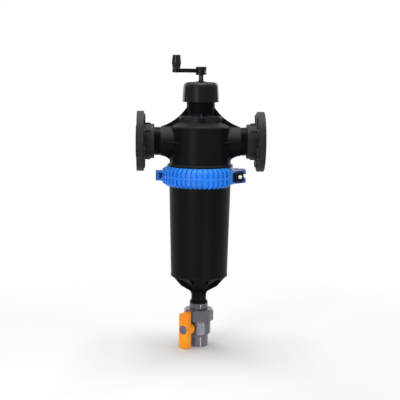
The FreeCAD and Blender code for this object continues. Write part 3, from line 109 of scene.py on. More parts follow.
class ThreadSettings(bpy.types.PropertyGroup):
    """Sizes of the screwed lengths that show."""

    port_radius: length_setting("Port radius", "Core of a port's thread", 46.4 * MM)
    port_pitch: length_setting("Port pitch", "Rise of a port's thread in one turn", 4.2 * MM)
    port_height: length_setting("Port height", "Height of a port's thread over its core", 1.3 * MM)
    port_end: length_setting("Port end", "Inner end of a port's thread, from the upright axis", 132.9 * MM)
    drain_radius: length_setting("Drain radius", "Bore of the drain socket", 23.9 * MM)
    drain_pitch: length_setting("Drain pitch", "Rise of the drain socket's thread in one turn", 2.31 * MM)
    drain_height: length_setting("Drain height", "Height of the drain socket's thread", 1.1 * MM)
    drain_end: length_setting("Drain end", "Upper end of the drain socket's thread", 21 * MM)
    bolt_radius: length_setting("Bolt radius", "Core of the swing bolt's thread", 5.95 * MM)
    bolt_pitch: length_setting("Bolt pitch", "Rise of the swing bolt's thread in one turn", 1.5 * MM)
    bolt_height: length_setting("Bolt height", "Height of the swing bolt's thread", 0.4 * MM)
    turn_steps: bpy.props.IntProperty(
        name="Steps in a turn", description="Straight pieces in one turn of a thread", default=96, min=12)


class BrushSettings(bpy.types.PropertyGroup):
    """Sizes of the bristle tufts."""

    tuft_pitch: length_setting("Tuft pitch", "Distance from one tuft to the next", 4.0 * MM)
    filament_radius: length_setting("Filament radius", "Radius of one filament at its root", 0.32 * MM)
    filaments: bpy.props.IntProperty(
        name="Filaments in a tuft", description="Number of filaments in a tuft", default=7, min=1)
    seed: bpy.props.IntProperty(
        name="Seed", description="Starts the random lean of the filaments", default=7)


class CapRimSettings(bpy.types.PropertyGroup):
    """Sizes of the rim round the cap of the valve's handle."""

    inner_radius: length_setting("Inner radius", "Under the edge of the cap", 11.6 * MM)
    outer_radius: length_setting("Outer radius", "Outer edge of the rim", 15.3 * MM)
    thickness: length_setting("Thickness", "From the cap's face down", 1.1 * MM)
    bevel: length_setting("Bevel", "Sloped outer edge", 0.5 * MM)
    sink: length_setting("Sink", "Rim's face behind the cap's face", 0.05 * MM)


class FinishSettings(bpy.types.PropertyGroup):
    """Colours of the materials."""

    bowl: colour_setting("Bowl plastic", "Bowl", (0.0032, 0.0035, 0.0036))
    head: colour_setting("Head plastic", "Head, and lighter the top cap", (0.003, 0.0038, 0.0052))
    flange: colour_setting("Flange plastic", "Flange adapters", (0.0125, 0.013, 0.0142))
    blue: colour_setting("Clamp plastic", "Body clamp", (0.02, 0.222, 0.9))
    fitting: colour_setting("Fitting plastic", "Crank arm, grip and clamp nut", (0.0022, 0.0022, 0.0026))
    inner: colour_setting("Inner plastic", "Bush, cage, bearing and brush holder", (0.03, 0.03, 0.032))
    valve: colour_setting("Valve plastic", "Valve body and nuts", (0.104, 0.096, 0.118))
    orange: colour_setting("Handle plastic", "Valve handle", (0.98, 0.302, 0.01))
    seat: colour_setting("Ball and seats", "Valve ball and its seats", (0.72, 0.72, 0.7))
    steel: colour_setting("Bright steel", "Pins and bolts", (0.78, 0.78, 0.77))
    washer: colour_setting("Dark washer", "Washer under the clamp nut", (0.05, 0.05, 0.055))
    shaft: colour_setting("Shaft coating", "Crank shaft and its collar", (0.012, 0.012, 0.013))
    rubber: colour_setting("Seal rubber", "All seals", (0.015, 0.015, 0.015))
    mesh: colour_setting("Screen wire", "Screen mesh", (0.5, 0.51, 0.52))
    bristle: colour_setting("Bristle nylon", "Brush bristles", (0.7, 0.7, 0.66))


class StageSettings(bpy.types.PropertyGroup):
    """Floor, backdrop and lamps."""

    floor_radius: length_setting("Floor radius", "Outer edge of the floor", 1.5)
    floor_clear: length_setting("Floor clear", "Where the floor starts to fade", 0.55)
    floor_gap: length_setting("Floor gap", "Room between the filter and the floor", 0.5 * MM)
    floor_colour: colour_setting("Floor colour", "Pale floor", (0.82, 0.82, 0.82))
    sky_colour: colour_setting("Surrounding colour", "Colour of the even light", (0.8, 0.8, 0.8))
    sky_strength: bpy.props.FloatProperty(
        name="Surrounding light", description="Even light from all round", default=0.56)
    left_power: power_setting("Left lamp", "Tall lamp at the front left", 22.0)
    top_power: power_setting("Top lamp", "Lamp overhead", 32.0)
    fill_power: power_setting("Fill lamp", "Large lamp at the right", 7.0)
    back_power: power_setting("Back lamps", "Each of the two lamps behind", 9.0)
    low_power: power_setting("Low lamp", "Small lamp low at the front right", 9.0)


class CameraSettings(bpy.types.PropertyGroup):
    """Where the camera stands and how it looks."""

    distance: length_setting("Distance", "Camera to the filter's upright axis", 3.6)
    height: length_setting("Height", "Camera above the pipe's axis", 0.27)
    aside: length_setting("Aside", "Camera moved to its own right", 0.8 * MM)
    yaw: angle_setting("Yaw", "Camera round to the left", 2.0)
    pitch: angle_setting("Pitch", "Camera tilted down", 7.4)
    roll: angle_setting("Roll", "Camera turned about its view", 0.62)
    lens: bpy.props.FloatProperty(
        name="Lens", description="Focal length in millimetres", default=97.2, unit="CAMERA")


class Socket:
    """An output of a shader node. Sums with it add the Math nodes that work them out."""

    def __init__(self, nodes, link):
        self.nodes = nodes
        self.link = link

    def _maths(self, operation, *values):
        return self.nodes.node("ShaderNodeMath", {"operation": operation}, dict(enumerate(values)))

    def __add__(self, other):
        return self._maths("ADD", self, other)

    def __sub__(self, other):
        return self._maths("SUBTRACT", self, other)

    def __mul__(self, other):
        return self._maths("MULTIPLY", self, other)

    def __pow__(self, other):
        return self._maths("POWER", self, other)

    def __mod__(self, other):
        return self._maths("FLOORED_MODULO", self, other)

    def __radd__(self, other):
        return self._maths("ADD", other, self)

    def __rsub__(self, other):
        return self._maths("SUBTRACT", other, self)

    def __rmul__(self, other):
        return self._maths("MULTIPLY", other, self)

    def sine(self):
        """Sine of the value, in radians."""
        return self._maths("SINE", self)

    def cosine(self):
        """Cosine of the value, in radians."""
        return self._maths("COSINE", self)

    def size(self):
        """The value without its sign."""
        return self._maths("ABSOLUTE", self)

    def at_least(self, other):
        """The larger of two values."""
        return self._maths("MAXIMUM", self, other)

    def angle_from(self, other):
        """Angle of the point whose second number this is, and whose first number is the other."""
        return self._maths("ARCTAN2", self, other)

    def step(self, low, high):
        """0 below low, 1 above high, with a soft edge between."""
        return self.nodes.node("ShaderNodeMapRange", {"interpolation_type": "SMOOTHSTEP"},
                               {"Value": self, "From Min": low, "From Max": high})

    def past(self, place, blur):
        """0 before a place, 1 past it, with a soft edge as wide as blur."""
        return self.step(place - blur / 2, place + blur / 2)


class Nodes:
    """The node tree of a finish or of the backdrop."""

    def __init__(self, owner):
        owner.use_nodes = True
        self.tree = owner.node_tree
        self.tree.nodes.clear()

    def fill(self, socket, value):
        """Link a socket, or set its value."""
        if isinstance(value, Socket):
            self.tree.links.new(value.link, socket)
        else:
            socket.default_value = value

    def node(self, kind, settings=None, values=None, output=0):
        """Any node: its type, its settings, the values or links of its sockets, and which output."""
        made = self.tree.nodes.new(kind)
        for name, value in (settings or {}).items():
            setattr(made, name, value)
        for name, value in (values or {}).items():
            self.fill(made.inputs[name], value)
        return Socket(self, made.outputs[output]) if made.outputs else None

    def parts(self, place):
        """The three numbers of a vector."""
        outputs = self.node("ShaderNodeSeparateXYZ", {}, {"Vector": place}).link.node.outputs
        return [Socket(self, outputs[name]) for name in "XYZ"]


class Paint(Nodes):
    """The node tree of one finish, with the patterns that the finishes share."""

    def __init__(self, name):
        self.material = bpy.data.materials.new(name)
        super().__init__(self.material)
        surface = self.node("ShaderNodeBsdfPrincipled")
        self.shader = surface.link.node
        self.node("ShaderNodeOutputMaterial", {}, {"Surface": surface})

    def spot(self, centre=(0, 0, 0), scale=(1, 1, 1)):
        """Object coordinates, moved so that centre is at zero, then scaled."""
        place = self.node("ShaderNodeTexCoord", output="Object")
        place = self.node("ShaderNodeVectorMath", {"operation": "SUBTRACT"}, {0: place, 1: centre})
        return self.node("ShaderNodeMapping", {}, {"Vector": place, "Scale": scale})

    def away(self, centre):
        """Distance from a point."""
        return self.node("ShaderNodeVectorMath", {"operation": "DISTANCE"}, {0: self.spot(), 1: centre},
                         "Value")

    def noise(self, place, scale, detail=2.0, roughness=0.5):
        """Smooth random pattern from 0 to 1; scale is the number of its patches in a metre."""
        return self.node("ShaderNodeTexNoise", {},
                         {"Vector": place, "Scale": scale, "Detail": detail, "Roughness": roughness})

    def mix(self, amount, first, second):
        """Colour between first and second."""
        return self.node("ShaderNodeMix", {"data_type": "RGBA"}, {0: amount, 6: first, 7: second}, 2)

    def edges(self, radius):
        """1 on an edge of the shape and 0 on its open faces, from a small bevel of its normal."""
        soft = self.node("ShaderNodeBevel", {"samples": 4}, {"Radius": radius})
        hard = self.node("ShaderNodeNewGeometry", output="Normal")
        same = self.node("ShaderNodeVectorMath", {"operation": "DOT_PRODUCT"}, {0: soft, 1: hard}, "Value")
        return (1 - same).step(0.01, 0.12)

    def upward(self):
        """0 on upright faces and 1 on faces that look up."""
        normal = self.node("ShaderNodeNewGeometry", output="Normal")
        return self.parts(normal)[2].step(-0.05, 0.85)

    def cavity(self, reach):
        """1 deep in corners and grooves, 0 on open faces."""
        open_part = self.node("ShaderNodeAmbientOcclusion", {"samples": 6}, {"Distance": reach}, "AO")
        return 1 - open_part.step(0.15, 0.85)

    def bump(self, height, depth, strength=1.0, below=None):
        """Normal of a relief whose height runs from 0 to 1 over depth metres."""
        values = {"Height": height, "Distance": depth, "Strength": strength}
        if below:
            values["Normal"] = below
        return self.node("ShaderNodeBump", {}, values)

    def finish(self, **values):
        """Set the shader's own sockets, by name with _ for spaces."""
        for name, value in values.items():
            self.fill(self.shader.inputs[name.replace("_", " ")], value)
        return self.material


def radius_of(first, second):
    """Distance of a point from zero, from its two numbers."""
    return (first * first + second * second) ** 0.5


def shade(colour, factor=1.0):
    """Colour with an opaque alpha, made lighter or darker."""
    return tuple(min(part * factor, 1.0) for part in colour[:3]) + (1.0,)


def moulded(name, colour, roughness, gloss, grain=900.0, grain_depth=0.04 * MM, edge=1.6, flow=0.25,
            zone=None, dust_and_top_light=None, cavity_shade=0.75):
    """Injection moulded plastic: cloudy colour, flow marks, fine grain and lighter edges, which are wear and also
    painted highlight.

    The edges are lighter by the factor edge, and flow is how strong the flow marks are. Faces that look up
    take one more colour, painted light from above and on the dark plastics also dust, and corners and
    grooves are darkened with painted shade by a share. A zone is a function
    that changes the colour and the roughness of one part of the piece.
    """
    paint = Paint(name)
    place = paint.spot()
    cloud = paint.noise(place, 11.0, 4.0)
    streak = paint.noise(paint.spot(scale=(1, 1, 0.12)), 70.0, 3.0)
    fine = paint.noise(place, grain, 2.0)
    # Edges are lighter in patches: wear, and also painted highlight
    wear_and_highlight = paint.edges(0.9 * MM) * paint.noise(place, 160.0, 3.0).step(0.3, 0.7)
    base = paint.mix(cloud.step(0.3, 0.7), shade(colour, 0.85), shade(colour, 1.18))
    base = paint.mix(wear_and_highlight * 0.7, base, shade(colour, edge))
    rough = roughness - 0.06 + 0.1 * cloud + flow * 0.2 * (streak - 0.5) + 0.08 * wear_and_highlight
    # Faces that look up are lighter: painted light from above, and on the dark plastics also dust
    if dust_and_top_light:
        base = paint.mix(paint.upward() * (0.75 + 0.25 * cloud), base, shade(dust_and_top_light))
    if zone:
        base, rough = zone(paint, base, rough)
    # Painted shade: corners and grooves are darkened
    base = paint.mix(paint.cavity(14 * MM) * cavity_shade, base, shade(colour, 0.15))
    relief = paint.bump(fine, grain_depth, 0.6)
    relief = paint.bump(streak, 0.03 * MM, flow, relief)
    return paint.finish(Base_Color=base, Roughness=rough, Specular_IOR_Level=gloss, Normal=relief)


def head_zone(paint, base, rough):
    """Neck darkened with painted shade, a painted highlight on the step, matt port roots with painted light on
    their upward faces, and glossier threads at the ports' ends darkened with painted shade.
    """
    neck_foot, step_foot, step_top, step_radius = 92.5 * MM, 61.5 * MM, 89 * MM, 76.5 * MM
    root_start, root_radius, thread_start = 78 * MM, 73 * MM, 132.4 * MM
    x, y, z = paint.parts(paint.spot((AXIS_X, 0, 0)))
    neck = z.past(neck_foot, 3 * MM)
    inside = 1 - radius_of(x, y).past(step_radius, 1 * MM)
    step = z.past(step_foot, 3 * MM) * (1 - z.past(step_top, 4 * MM)) * inside
    patch = paint.noise(paint.spot(), 25.0, 3.0).step(0.3, 0.7)
    # Painted highlight: a paler patchy band on the step
    base = paint.mix(step * patch, base, STEP_PAINTED_HIGHLIGHT)
    # Painted shade: the neck under the cap is darkened, and it is also rougher
    base = paint.mix(neck * 0.9, base, NECK_PAINTED_SHADE)
    rough = rough + 0.2 * neck
    reach = x.size()
    thread = reach.past(thread_start, 0.4 * MM)
    round_port = 1 - radius_of(y, z).past(root_radius, 1 * MM)
    root = reach.past(root_start, 4 * MM) * round_port * (1 - thread)
    # Painted light from above: the upward faces of the port roots are paler
    base = paint.mix(root * paint.upward(), base, PORT_ROOT_PAINTED_LIGHT)
    # Painted shade: the threads are darkened, and they are also glossier
    base = paint.mix(thread * 0.8, base, PORT_THREAD_PAINTED_SHADE)
    return base, rough + 0.2 * root - 0.08 * thread


def flange_zone(paint, base, rough):
    """Mottled grey, and paler, glossier rings round the bolt holes."""
    hole_circle, pale_ring_radius = 80 * MM, 13.5 * MM
    # Eight holes stand in eight equal sectors, each in its sector's middle
    sector = TURN / 8
    y, z = paint.parts(paint.spot())[1:]
    out = radius_of(y, z)
    turn = z.angle_from(y) % sector - sector / 2
    across = out * turn.sine()
    along = out * turn.cosine() - hole_circle
    patch = paint.noise(paint.spot(), 300.0, 3.0)
    ring = (1 - radius_of(across, along).past(pale_ring_radius, 3 * MM)) * (0.5 + 0.5 * patch)
    blotch = paint.noise(paint.spot(), 55.0, 5.0, 0.65)
    base = paint.mix(blotch.step(0.4, 0.75), base, FLANGE_PALE)
    base = paint.mix((1 - blotch).step(0.5, 0.8) * 0.6, base, FLANGE_DARK)
    return paint.mix(ring * 0.8, base, BOLT_HOLE_PALE), rough - 0.15 * ring


def clamp_zone(paint, base, rough):
    """Painted light in the pockets between the ribs, painted shade between the ribs at their foot, and painted
    shade round the nut and hinge, where the clamp is also glossier.
    """
    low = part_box("clamp_front")[0]
    rib_radius = -low[1]
    x, y, z = paint.parts(paint.spot((AXIS_X, 0, 0)))
    out = radius_of(x, y)
    # 45 ribs would fill the circle. One would stand at the hinge, with a gap on the side opposite it
    gap = (45.0 * y.angle_from(x)).cosine().step(-0.35, 0.25)
    pocket = gap * (1 - out.past(rib_radius - 3.25 * MM, 3.5 * MM))
    patch = paint.noise(paint.spot(), 90.0, 3.0)
    foot = (1 - z.past(low[2] + 4.75 * MM, 3.5 * MM)) * gap
    # Painted light: the pockets between the ribs are paler
    base = paint.mix(pocket * 0.75, base, CLAMP_POCKET_PAINTED_LIGHT)
    # Painted shade: the gaps between the ribs at the foot are dark
    base = paint.mix(foot * (0.7 + 0.3 * patch), base, CLAMP_FOOT_PAINTED_SHADE)
    beside_nut = Vector(middle("clamp_nut")) - Vector((13 * MM, 0, 0))
    # Painted shade round the nut and the hinge, where the clamp is also glossier
    for centre, reach, blur, amount in ((beside_nut, 33 * MM, 18 * MM, 0.95),
                                        (middle("clamp_hinge_pin"), 18 * MM, 16 * MM, 0.6)):
        ragged = paint.away(centre) + 12 * MM * (patch - 0.5)
        painted_shade = (1 - ragged.past(reach, blur)) * amount
        base = paint.mix(painted_shade, base, CLAMP_PAINTED_SHADE)
        rough = rough - 0.12 * painted_shade
    return base, rough


def machined_steel(name, colour, roughness, centre):
    """Bright steel with fine machined lines and faint stains."""
    paint = Paint(name)
    place = paint.spot(centre)
    y, z = paint.parts(place)[1:]
    grain = paint.noise(place, 2600.0, 1.0)
    stain = paint.noise(place, 240.0, 4.0)
    lines = ((z + y) * 9000.0 + 6.0 * stain).sine() * 0.5 + 0.5
    base = paint.mix(stain.step(0.35, 0.75), shade(colour), shade(colour, 0.72))
    relief = paint.bump(lines * 0.6 + grain * 0.4, 0.01 * MM, 0.35)
    return paint.finish(Base_Color=base, Roughness=roughness + 0.12 * stain + 0.05 * lines, Metallic=1.0,
                        Normal=relief)


def coated_steel(name, colour):
    """Black coated shaft, rubbed brighter in fine rings where it turns."""
    paint = Paint(name)
    rub = paint.noise(paint.spot(scale=(1, 1, 14)), 30.0, 3.0)
    stain = paint.noise(paint.spot(), 180.0, 4.0)
    rubbed = rub.step(0.52, 0.72) * 0.5
    base = paint.mix(rubbed, shade(colour), SHAFT_RUB)
    relief = paint.bump(rub * 0.6 + stain * 0.4, 0.02 * MM, 0.4)
    return paint.finish(Base_Color=base, Roughness=0.34 + 0.18 * stain - 0.1 * rubbed, Metallic=0.6,
                        Normal=relief)


def soft_rubber(name, colour):
    """Seal rubber: dull, with a faint bloom."""
    paint = Paint(name)
    place = paint.spot()
    bloom = paint.noise(place, 60.0, 5.0)
    fine = paint.noise(place, 1500.0, 2.0)
    base = paint.mix(bloom.step(0.45, 0.75), shade(colour), shade(colour, 2.2))
    return paint.finish(Base_Color=base, Roughness=0.62 + 0.2 * bloom, Specular_IOR_Level=0.3,
                        Normal=paint.bump(fine, 0.03 * MM, 0.5))


def woven_wire(name, colour):
    """Screen mesh: wires round the screen and along it, in a plain weave whose openings are darkened with painted
    shade.
    """
    waves_round, wire_pitch = 400.0, 1.0 * MM
    paint = Paint(name)
    x, y, z = paint.parts(paint.spot((AXIS_X, 0, 0)))
    across = y.angle_from(x) * waves_round
    along = z * (TURN / wire_pitch)
    round_wire = (across.sine() * 0.5 + 0.5) ** 0.6
    long_wire = (along.sine() * 0.5 + 0.5) ** 0.6
    over = (across * 0.5).sine() * (along * 0.5).sine() * 0.5 + 0.5
    height = round_wire * over + long_wire * (1 - over)
    opening = 1 - round_wire.at_least(long_wire).step(0.25, 0.5)
    stain = paint.noise(paint.spot(), 40.0, 4.0)
    base = paint.mix(stain.step(0.4, 0.8), shade(colour), shade(colour, 0.7))
    # Painted shade: the openings of the weave are dark
    base = paint.mix(opening * 0.85, base, MESH_OPENING_SHADE)
    return paint.finish(Base_Color=base, Roughness=0.3 + 0.2 * stain, Metallic=1.0 - 0.9 * opening,
                        Normal=paint.bump(height, 0.25 * MM, 0.9))


def nylon(name, colour):
    """Pale bristle nylon, darker in patches where it has aged."""
    paint = Paint(name)
    age = paint.noise(paint.spot(), 35.0, 3.0)
    fine = paint.noise(paint.spot(scale=(1, 8, 8)), 700.0, 2.0)
    base = paint.mix(age.step(0.3, 0.8), shade(colour), shade(colour, 0.8))
    return paint.finish(Base_Color=base, Roughness=0.42 + 0.15 * fine, Specular_IOR_Level=0.5,
                        Normal=paint.bump(fine, 0.02 * MM, 0.4))


def nodes_of(slot):
    """The frame's pieces that take one finish."""
    return [name for name in frame["nodes"] if SLOT_OF.get(name) == slot]


def coat(names, material):
    """Give pieces of the frame one finish."""
    for name in names:
        mesh = frame["nodes"][name].data
        mesh.materials.clear()
        mesh.materials.append(material)


def middle(name):
    """Middle of a piece of the frame."""
    low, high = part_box(name)
    return tuple((a + b) / 2 for a, b in zip(low, high))


def add_piece(name, points, faces, body, material):
    """A new piece of the filter that rides on one body; its faces are turned outwards."""
    corners = points[faces[:, :3]]
    inward = np.einsum("ij,ij->i", corners[:, 0], np.cross(corners[:, 1], corners[:, 2])).sum() < 0
    mesh = bpy.data.meshes.new(name)
    mesh.from_pydata(points.tolist(), [], (faces[:, ::-1] if inward else faces).tolist())
    mesh.validate()
    mesh.materials.append(bpy.data.materials[material])
    piece = bpy.data.objects.new(name, mesh)
    bpy.context.scene.collection.objects.link(piece)
    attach(piece, body)
    return piece


def tube_faces(rows, columns):
    """Quads of a grid that closes on itself across its columns and is open at both ends."""
    here = np.arange(rows * columns).reshape(rows, columns)
    beside = np.roll(here, -1, axis=1)
    return np.stack([here[:-1], beside[:-1], beside[1:], here[1:]], axis=-1).reshape(-1, 4)


def helix(radius, height, pitch, start, end, steps):
    """Ridge of a screw thread about the x axis.

    The angle grows evenly, and x grows by one pitch a turn. Across the ridge stand four corners:
    two just under the core and two at the crest, which is the height above it. The height falls
    to almost nothing over the first and last quarter turn. A negative height makes a thread
    inside a hole.
    """
    half_foot, half_crest, sunk, run_out = 0.3, 0.1, 0.15, 0.25
    turns = (end - start - 2 * half_foot * pitch) / pitch
    count = max(int(abs(turns) * steps), 8)
    turn = np.linspace(0, turns, count)
    angle = (turn * TURN)[:, None]
    swell = np.clip(np.minimum(turn, turns - turn) / run_out, 0.02, 1)[:, None]
    along = np.array([-half_foot, -half_crest, half_crest, half_foot]) * pitch
    lift = np.array([-sunk, 1, 1, -sunk])
    x = start + half_foot * pitch + turn[:, None] * pitch + along
    r = radius + height * lift * np.where(lift > 0, swell, 1)
    points = np.stack([x, r * np.cos(angle), r * np.sin(angle)], axis=-1).reshape(-1, 3)
    ends = np.array([[3, 2, 1, 0], np.arange(4) + (count - 1) * 4])
    return points, np.concatenate([tube_faces(count, 4), ends])


def turned(profile, steps):
    """Ring about the x axis.

    The corners of a closed profile, each its place along the axis and its radius, are carried round
    the axis in even steps.
    """
    along, radius = np.array(profile).T
    angle = np.linspace(0, TURN, steps, endpoint=False)[:, None]
    points = np.stack([along + 0 * angle, radius * np.cos(angle), radius * np.sin(angle)], axis=-1)
    here = np.arange(steps * len(profile)).reshape(steps, -1)
    after = np.roll(here, -1, axis=0)
    faces = np.stack([here, np.roll(here, -1, axis=1), np.roll(after, -1, axis=1), after], axis=-1)
    return points.reshape(-1, 3), faces.reshape(-1, 4)


def stand(points, origin, axis):
    """Turn points about the x axis so that it lies along another axis, and move them there."""
    turn = Vector((1, 0, 0)).rotation_difference(Vector(axis)).to_matrix()
    return points @ np.array(turn).T + np.array(origin)


class FILTER_OT_finishes(bpy.types.Operator):
    """Finishes of all pieces, each worked out from its place on the filter"""

    bl_idname = "filter.finishes"
    bl_label = "Finishes"

    def execute(self, context):
        colours = context.scene.filter_finish
        # Pieces, name of the finish, its colour, and what moulded takes; the last one to name a piece holds
        mouldings = (
            (["filter_head"], "head_moulding", colours.head,
             {"roughness": 0.4, "gloss": 0.05, "edge": 4.0, "zone": head_zone,
              "dust_and_top_light": (0.021, 0.0235, 0.027)}),
            (["filter_bowl"], "bowl_moulding", colours.bowl,
             {"roughness": 0.42, "gloss": 0.05, "edge": 4.0, "dust_and_top_light": (0.012, 0.0125, 0.013)}),
            (["top_cap"], "cap_moulding", shade(colours.head, 1.7),
             {"roughness": 0.3, "gloss": 0.09, "edge": 5.0, "dust_and_top_light": (0.03, 0.031, 0.034)}),
            (nodes_of("grey_black_plastic"), "flange_moulding", colours.flange,
             {"roughness": 0.55, "gloss": 0.12, "grain": 600.0, "grain_depth": 0.08 * MM, "edge": 2.2,
              "flow": 0.5, "zone": flange_zone, "dust_and_top_light": (0.04, 0.041, 0.044)}),
            (nodes_of("blue_plastic"), "clamp_moulding", colours.blue,
             {"roughness": 0.42, "gloss": 0.25, "edge": 1.3, "zone": clamp_zone,
              "dust_and_top_light": (0.035, 0.33, 0.95), "cavity_shade": 0.15}),
            (nodes_of("black_fitting"), "fitting_moulding", colours.fitting,
             {"roughness": 0.25, "gloss": 0.12, "grain_depth": 0.015 * MM, "edge": 2.6}),
            (["crank_grip"], "grip_moulding", colours.fitting,
             {"roughness": 0.14, "gloss": 0.22, "grain_depth": 0.005 * MM, "edge": 2.6, "flow": 0.1}),
            (nodes_of("inner_plastic"), "inner_moulding", colours.inner, {"roughness": 0.5, "gloss": 0.3}),
            (nodes_of("valve_grey"), "valve_moulding", colours.valve,
             {"roughness": 0.2, "gloss": 0.5, "edge": 3.6}),
            (nodes_of("orange_plastic"), "handle_moulding", colours.orange,
             {"roughness": 0.45, "gloss": 0.2, "edge": 1.15}),
            (nodes_of("valve_white"), "seat_moulding", colours.seat,
             {"roughness": 0.3, "gloss": 0.5, "edge": 1.1}),
        )
        for names, title, colour, look in mouldings:
            coat(names, moulded(title, colour, **look))
        for name in nodes_of("steel"):
            title = "bright_steel" if name == "clamp_swing_bolt" else "steel_" + name
            colour = colours.washer if name == "clamp_washer" else colours.steel
            coat([name], machined_steel(title, colour, 0.22, middle(name)))
        coat(nodes_of("dark_steel"), coated_steel("shaft_coating", colours.shaft))
        coat(nodes_of("rubber"), soft_rubber("seal_rubber", colours.rubber))
        coat(nodes_of("screen_mesh"), woven_wire("screen_weave", colours.mesh))
        coat(nodes_of("bristles"), nylon("bristle_nylon", colours.bristle))
        return {"FINISHED"}


class FILTER_OT_port_threads(bpy.types.Operator):
    """Screw threads that show on both ports, between flange adapter and root"""

    bl_idname = "filter.port_threads"
    bl_label = "Port threads"

    def execute(self, context):
        sizes = context.scene.filter_threads
        flange_room = 0.6 * MM
        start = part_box("inlet_flange")[1][0] + flange_room
        points, faces = helix(sizes.port_radius, sizes.port_height, sizes.port_pitch, start,
                              AXIS_X - sizes.port_end, sizes.turn_steps)
        add_piece("inlet_port_thread", points, faces, "filter", "head_moulding")
        # Half a turn about the upright axis
        points = points * np.array([-1, -1, 1]) + np.array([2 * AXIS_X, 0, 0])
        add_piece("outlet_port_thread", points, faces, "filter", "head_moulding")
        return {"FINISHED"}


class FILTER_OT_small_threads(bpy.types.Operator):
    """Threads of the swing bolt's end and of the drain socket"""

    bl_idname = "filter.small_threads"
    bl_label = "Bolt and drain threads"

    def execute(self, context):
        sizes = context.scene.filter_threads
        # Plain lengths left beside the nut, at the bolt's end and at the drain's mouth
        nut_room, end_room, mouth_room = 0.1 * MM, 0.2 * MM, 0.8 * MM
        nut = middle("clamp_nut")
        nut_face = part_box("clamp_nut")[0][1]
        bolt_end = nut_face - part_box("clamp_swing_bolt")[0][1]
        points, faces = helix(sizes.bolt_radius, sizes.bolt_height, sizes.bolt_pitch, nut_room,
                              bolt_end - end_room, sizes.turn_steps // 2)
        points = stand(points, (nut[0], nut_face, nut[2]), (0, -1, 0))
        add_piece("swing_bolt_thread", points, faces, "filter", "bright_steel")
        points, faces = helix(sizes.drain_radius, -sizes.drain_height, sizes.drain_pitch, mouth_room,
                              sizes.drain_end, sizes.turn_steps)
        points = stand(points, (AXIS_X, 0, FLOOR_Z), (0, 0, 1))
        add_piece("drain_socket_thread", points, faces, "filter", "valve_moulding")
        return {"FINISHED"}


class FILTER_OT_cap_rim(bpy.types.Operator):
    """Thin rim that makes the face of the valve handle's cap as wide as the real one"""

    bl_idname = "filter.cap_rim"
    bl_label = "Handle cap rim"

    def execute(self, context):
        sizes = context.scene.filter_cap_rim
        joint = next(row for row in frame["joints"] if row["name"] == "valve_turn")
        cap = np.array([corner.co for corner in frame["nodes"]["handle_cap"].data.vertices])
        face = ((cap - np.array(joint["pos_m"])) @ np.array(joint["axis"])).max()
        inner, outer = sizes.inner_radius, sizes.outer_radius
        back, front = face - sizes.thickness, face - sizes.sink
        profile = [(back, inner), (front, inner), (front, outer - sizes.bevel),
                   (face - sizes.bevel, outer), (back, outer)]
        points, faces = turned(profile, 96)
        points = stand(points, joint["pos_m"], joint["axis"])
        add_piece("handle_cap_rim", points, faces, "valve", "valve_moulding")
        return {"FINISHED"}


class FILTER_OT_bristles(bpy.types.Operator):
    """Tufts of filaments in place of the two plain bristle strips"""

    bl_idname = "filter.bristles"
    bl_label = "Brush bristles"

    def execute(self, context):
        sizes = context.scene.filter_brush
        # Rail left free at each end, depth of the roots in it, and room inside the box of the strips
        end_room, sunk, tip_gap, edge_gap = 3 * MM, 1 * MM, 0.2 * MM, 0.4 * MM
        # Half a tuft across the rail and along it, and how much wider its tips stand than its roots
        half_wide, half_long, fan = 1.6, 1.2, 1.45
        low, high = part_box("brush_strips")
        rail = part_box("brush_holder")[1][0] - AXIS_X
        tip = high[0] - AXIS_X - tip_gap
        rows = int((high[2] - low[2] - 2 * end_room) / sizes.tuft_pitch)
        heights = np.linspace(low[2] + end_room, high[2] - end_room, rows)
        count = rows * 2 * sizes.filaments
        side = np.repeat([1.0, -1.0], rows * sizes.filaments)
        # Roots are scattered in their tuft, and tips spread outwards and lean a little at random
        random = np.random.default_rng(sizes.seed)
        across = random.uniform(-half_wide, half_wide, count) * MM
        scatter = random.uniform(-half_long, half_long, count) * MM
        along = np.tile(np.repeat(heights, sizes.filaments), 2) + scatter
        root = np.stack([np.full(count, rail - sunk), across, along], axis=-1)
        reach = tip - random.uniform(0, 0.5, count) * MM
        spread = across * fan + random.normal(0, 0.12, count) * MM
        lean = random.normal(0, 0.45, count) * MM
        spread = np.clip(spread, low[1] + edge_gap, high[1] - edge_gap)
        top = np.stack([reach, spread, along + lean], axis=-1)
        # Each filament is a slim four sided tube: a square of its radius at the root, and a smaller
        # one at the tip
        angle = np.arange(4) * TURN / 4
        square = np.stack([np.zeros(4), np.cos(angle), np.sin(angle)], axis=-1)
        slim = np.array([1.0, 0.6])[:, None, None] * sizes.filament_radius
        points = np.stack([root, top], axis=1)[:, :, None] + square * slim
        points[..., 0] = AXIS_X + points[..., 0] * side[:, None, None]
        one = np.concatenate([tube_faces(2, 4), [[3, 2, 1, 0], [4, 5, 6, 7]]])
        faces = one[None] + (np.arange(count) * 8)[:, None, None]
        # The tufts of the far side are mirrored, so their faces are turned back
        faces = np.where(side[:, None, None] < 0, faces[:, :, ::-1], faces).reshape(-1, 4)
        piece = add_piece("brush_bristles", points.reshape(-1, 3), faces, "crank",
                          "bristle_nylon")
        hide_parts("brush_strips")
        return {"FINISHED"}


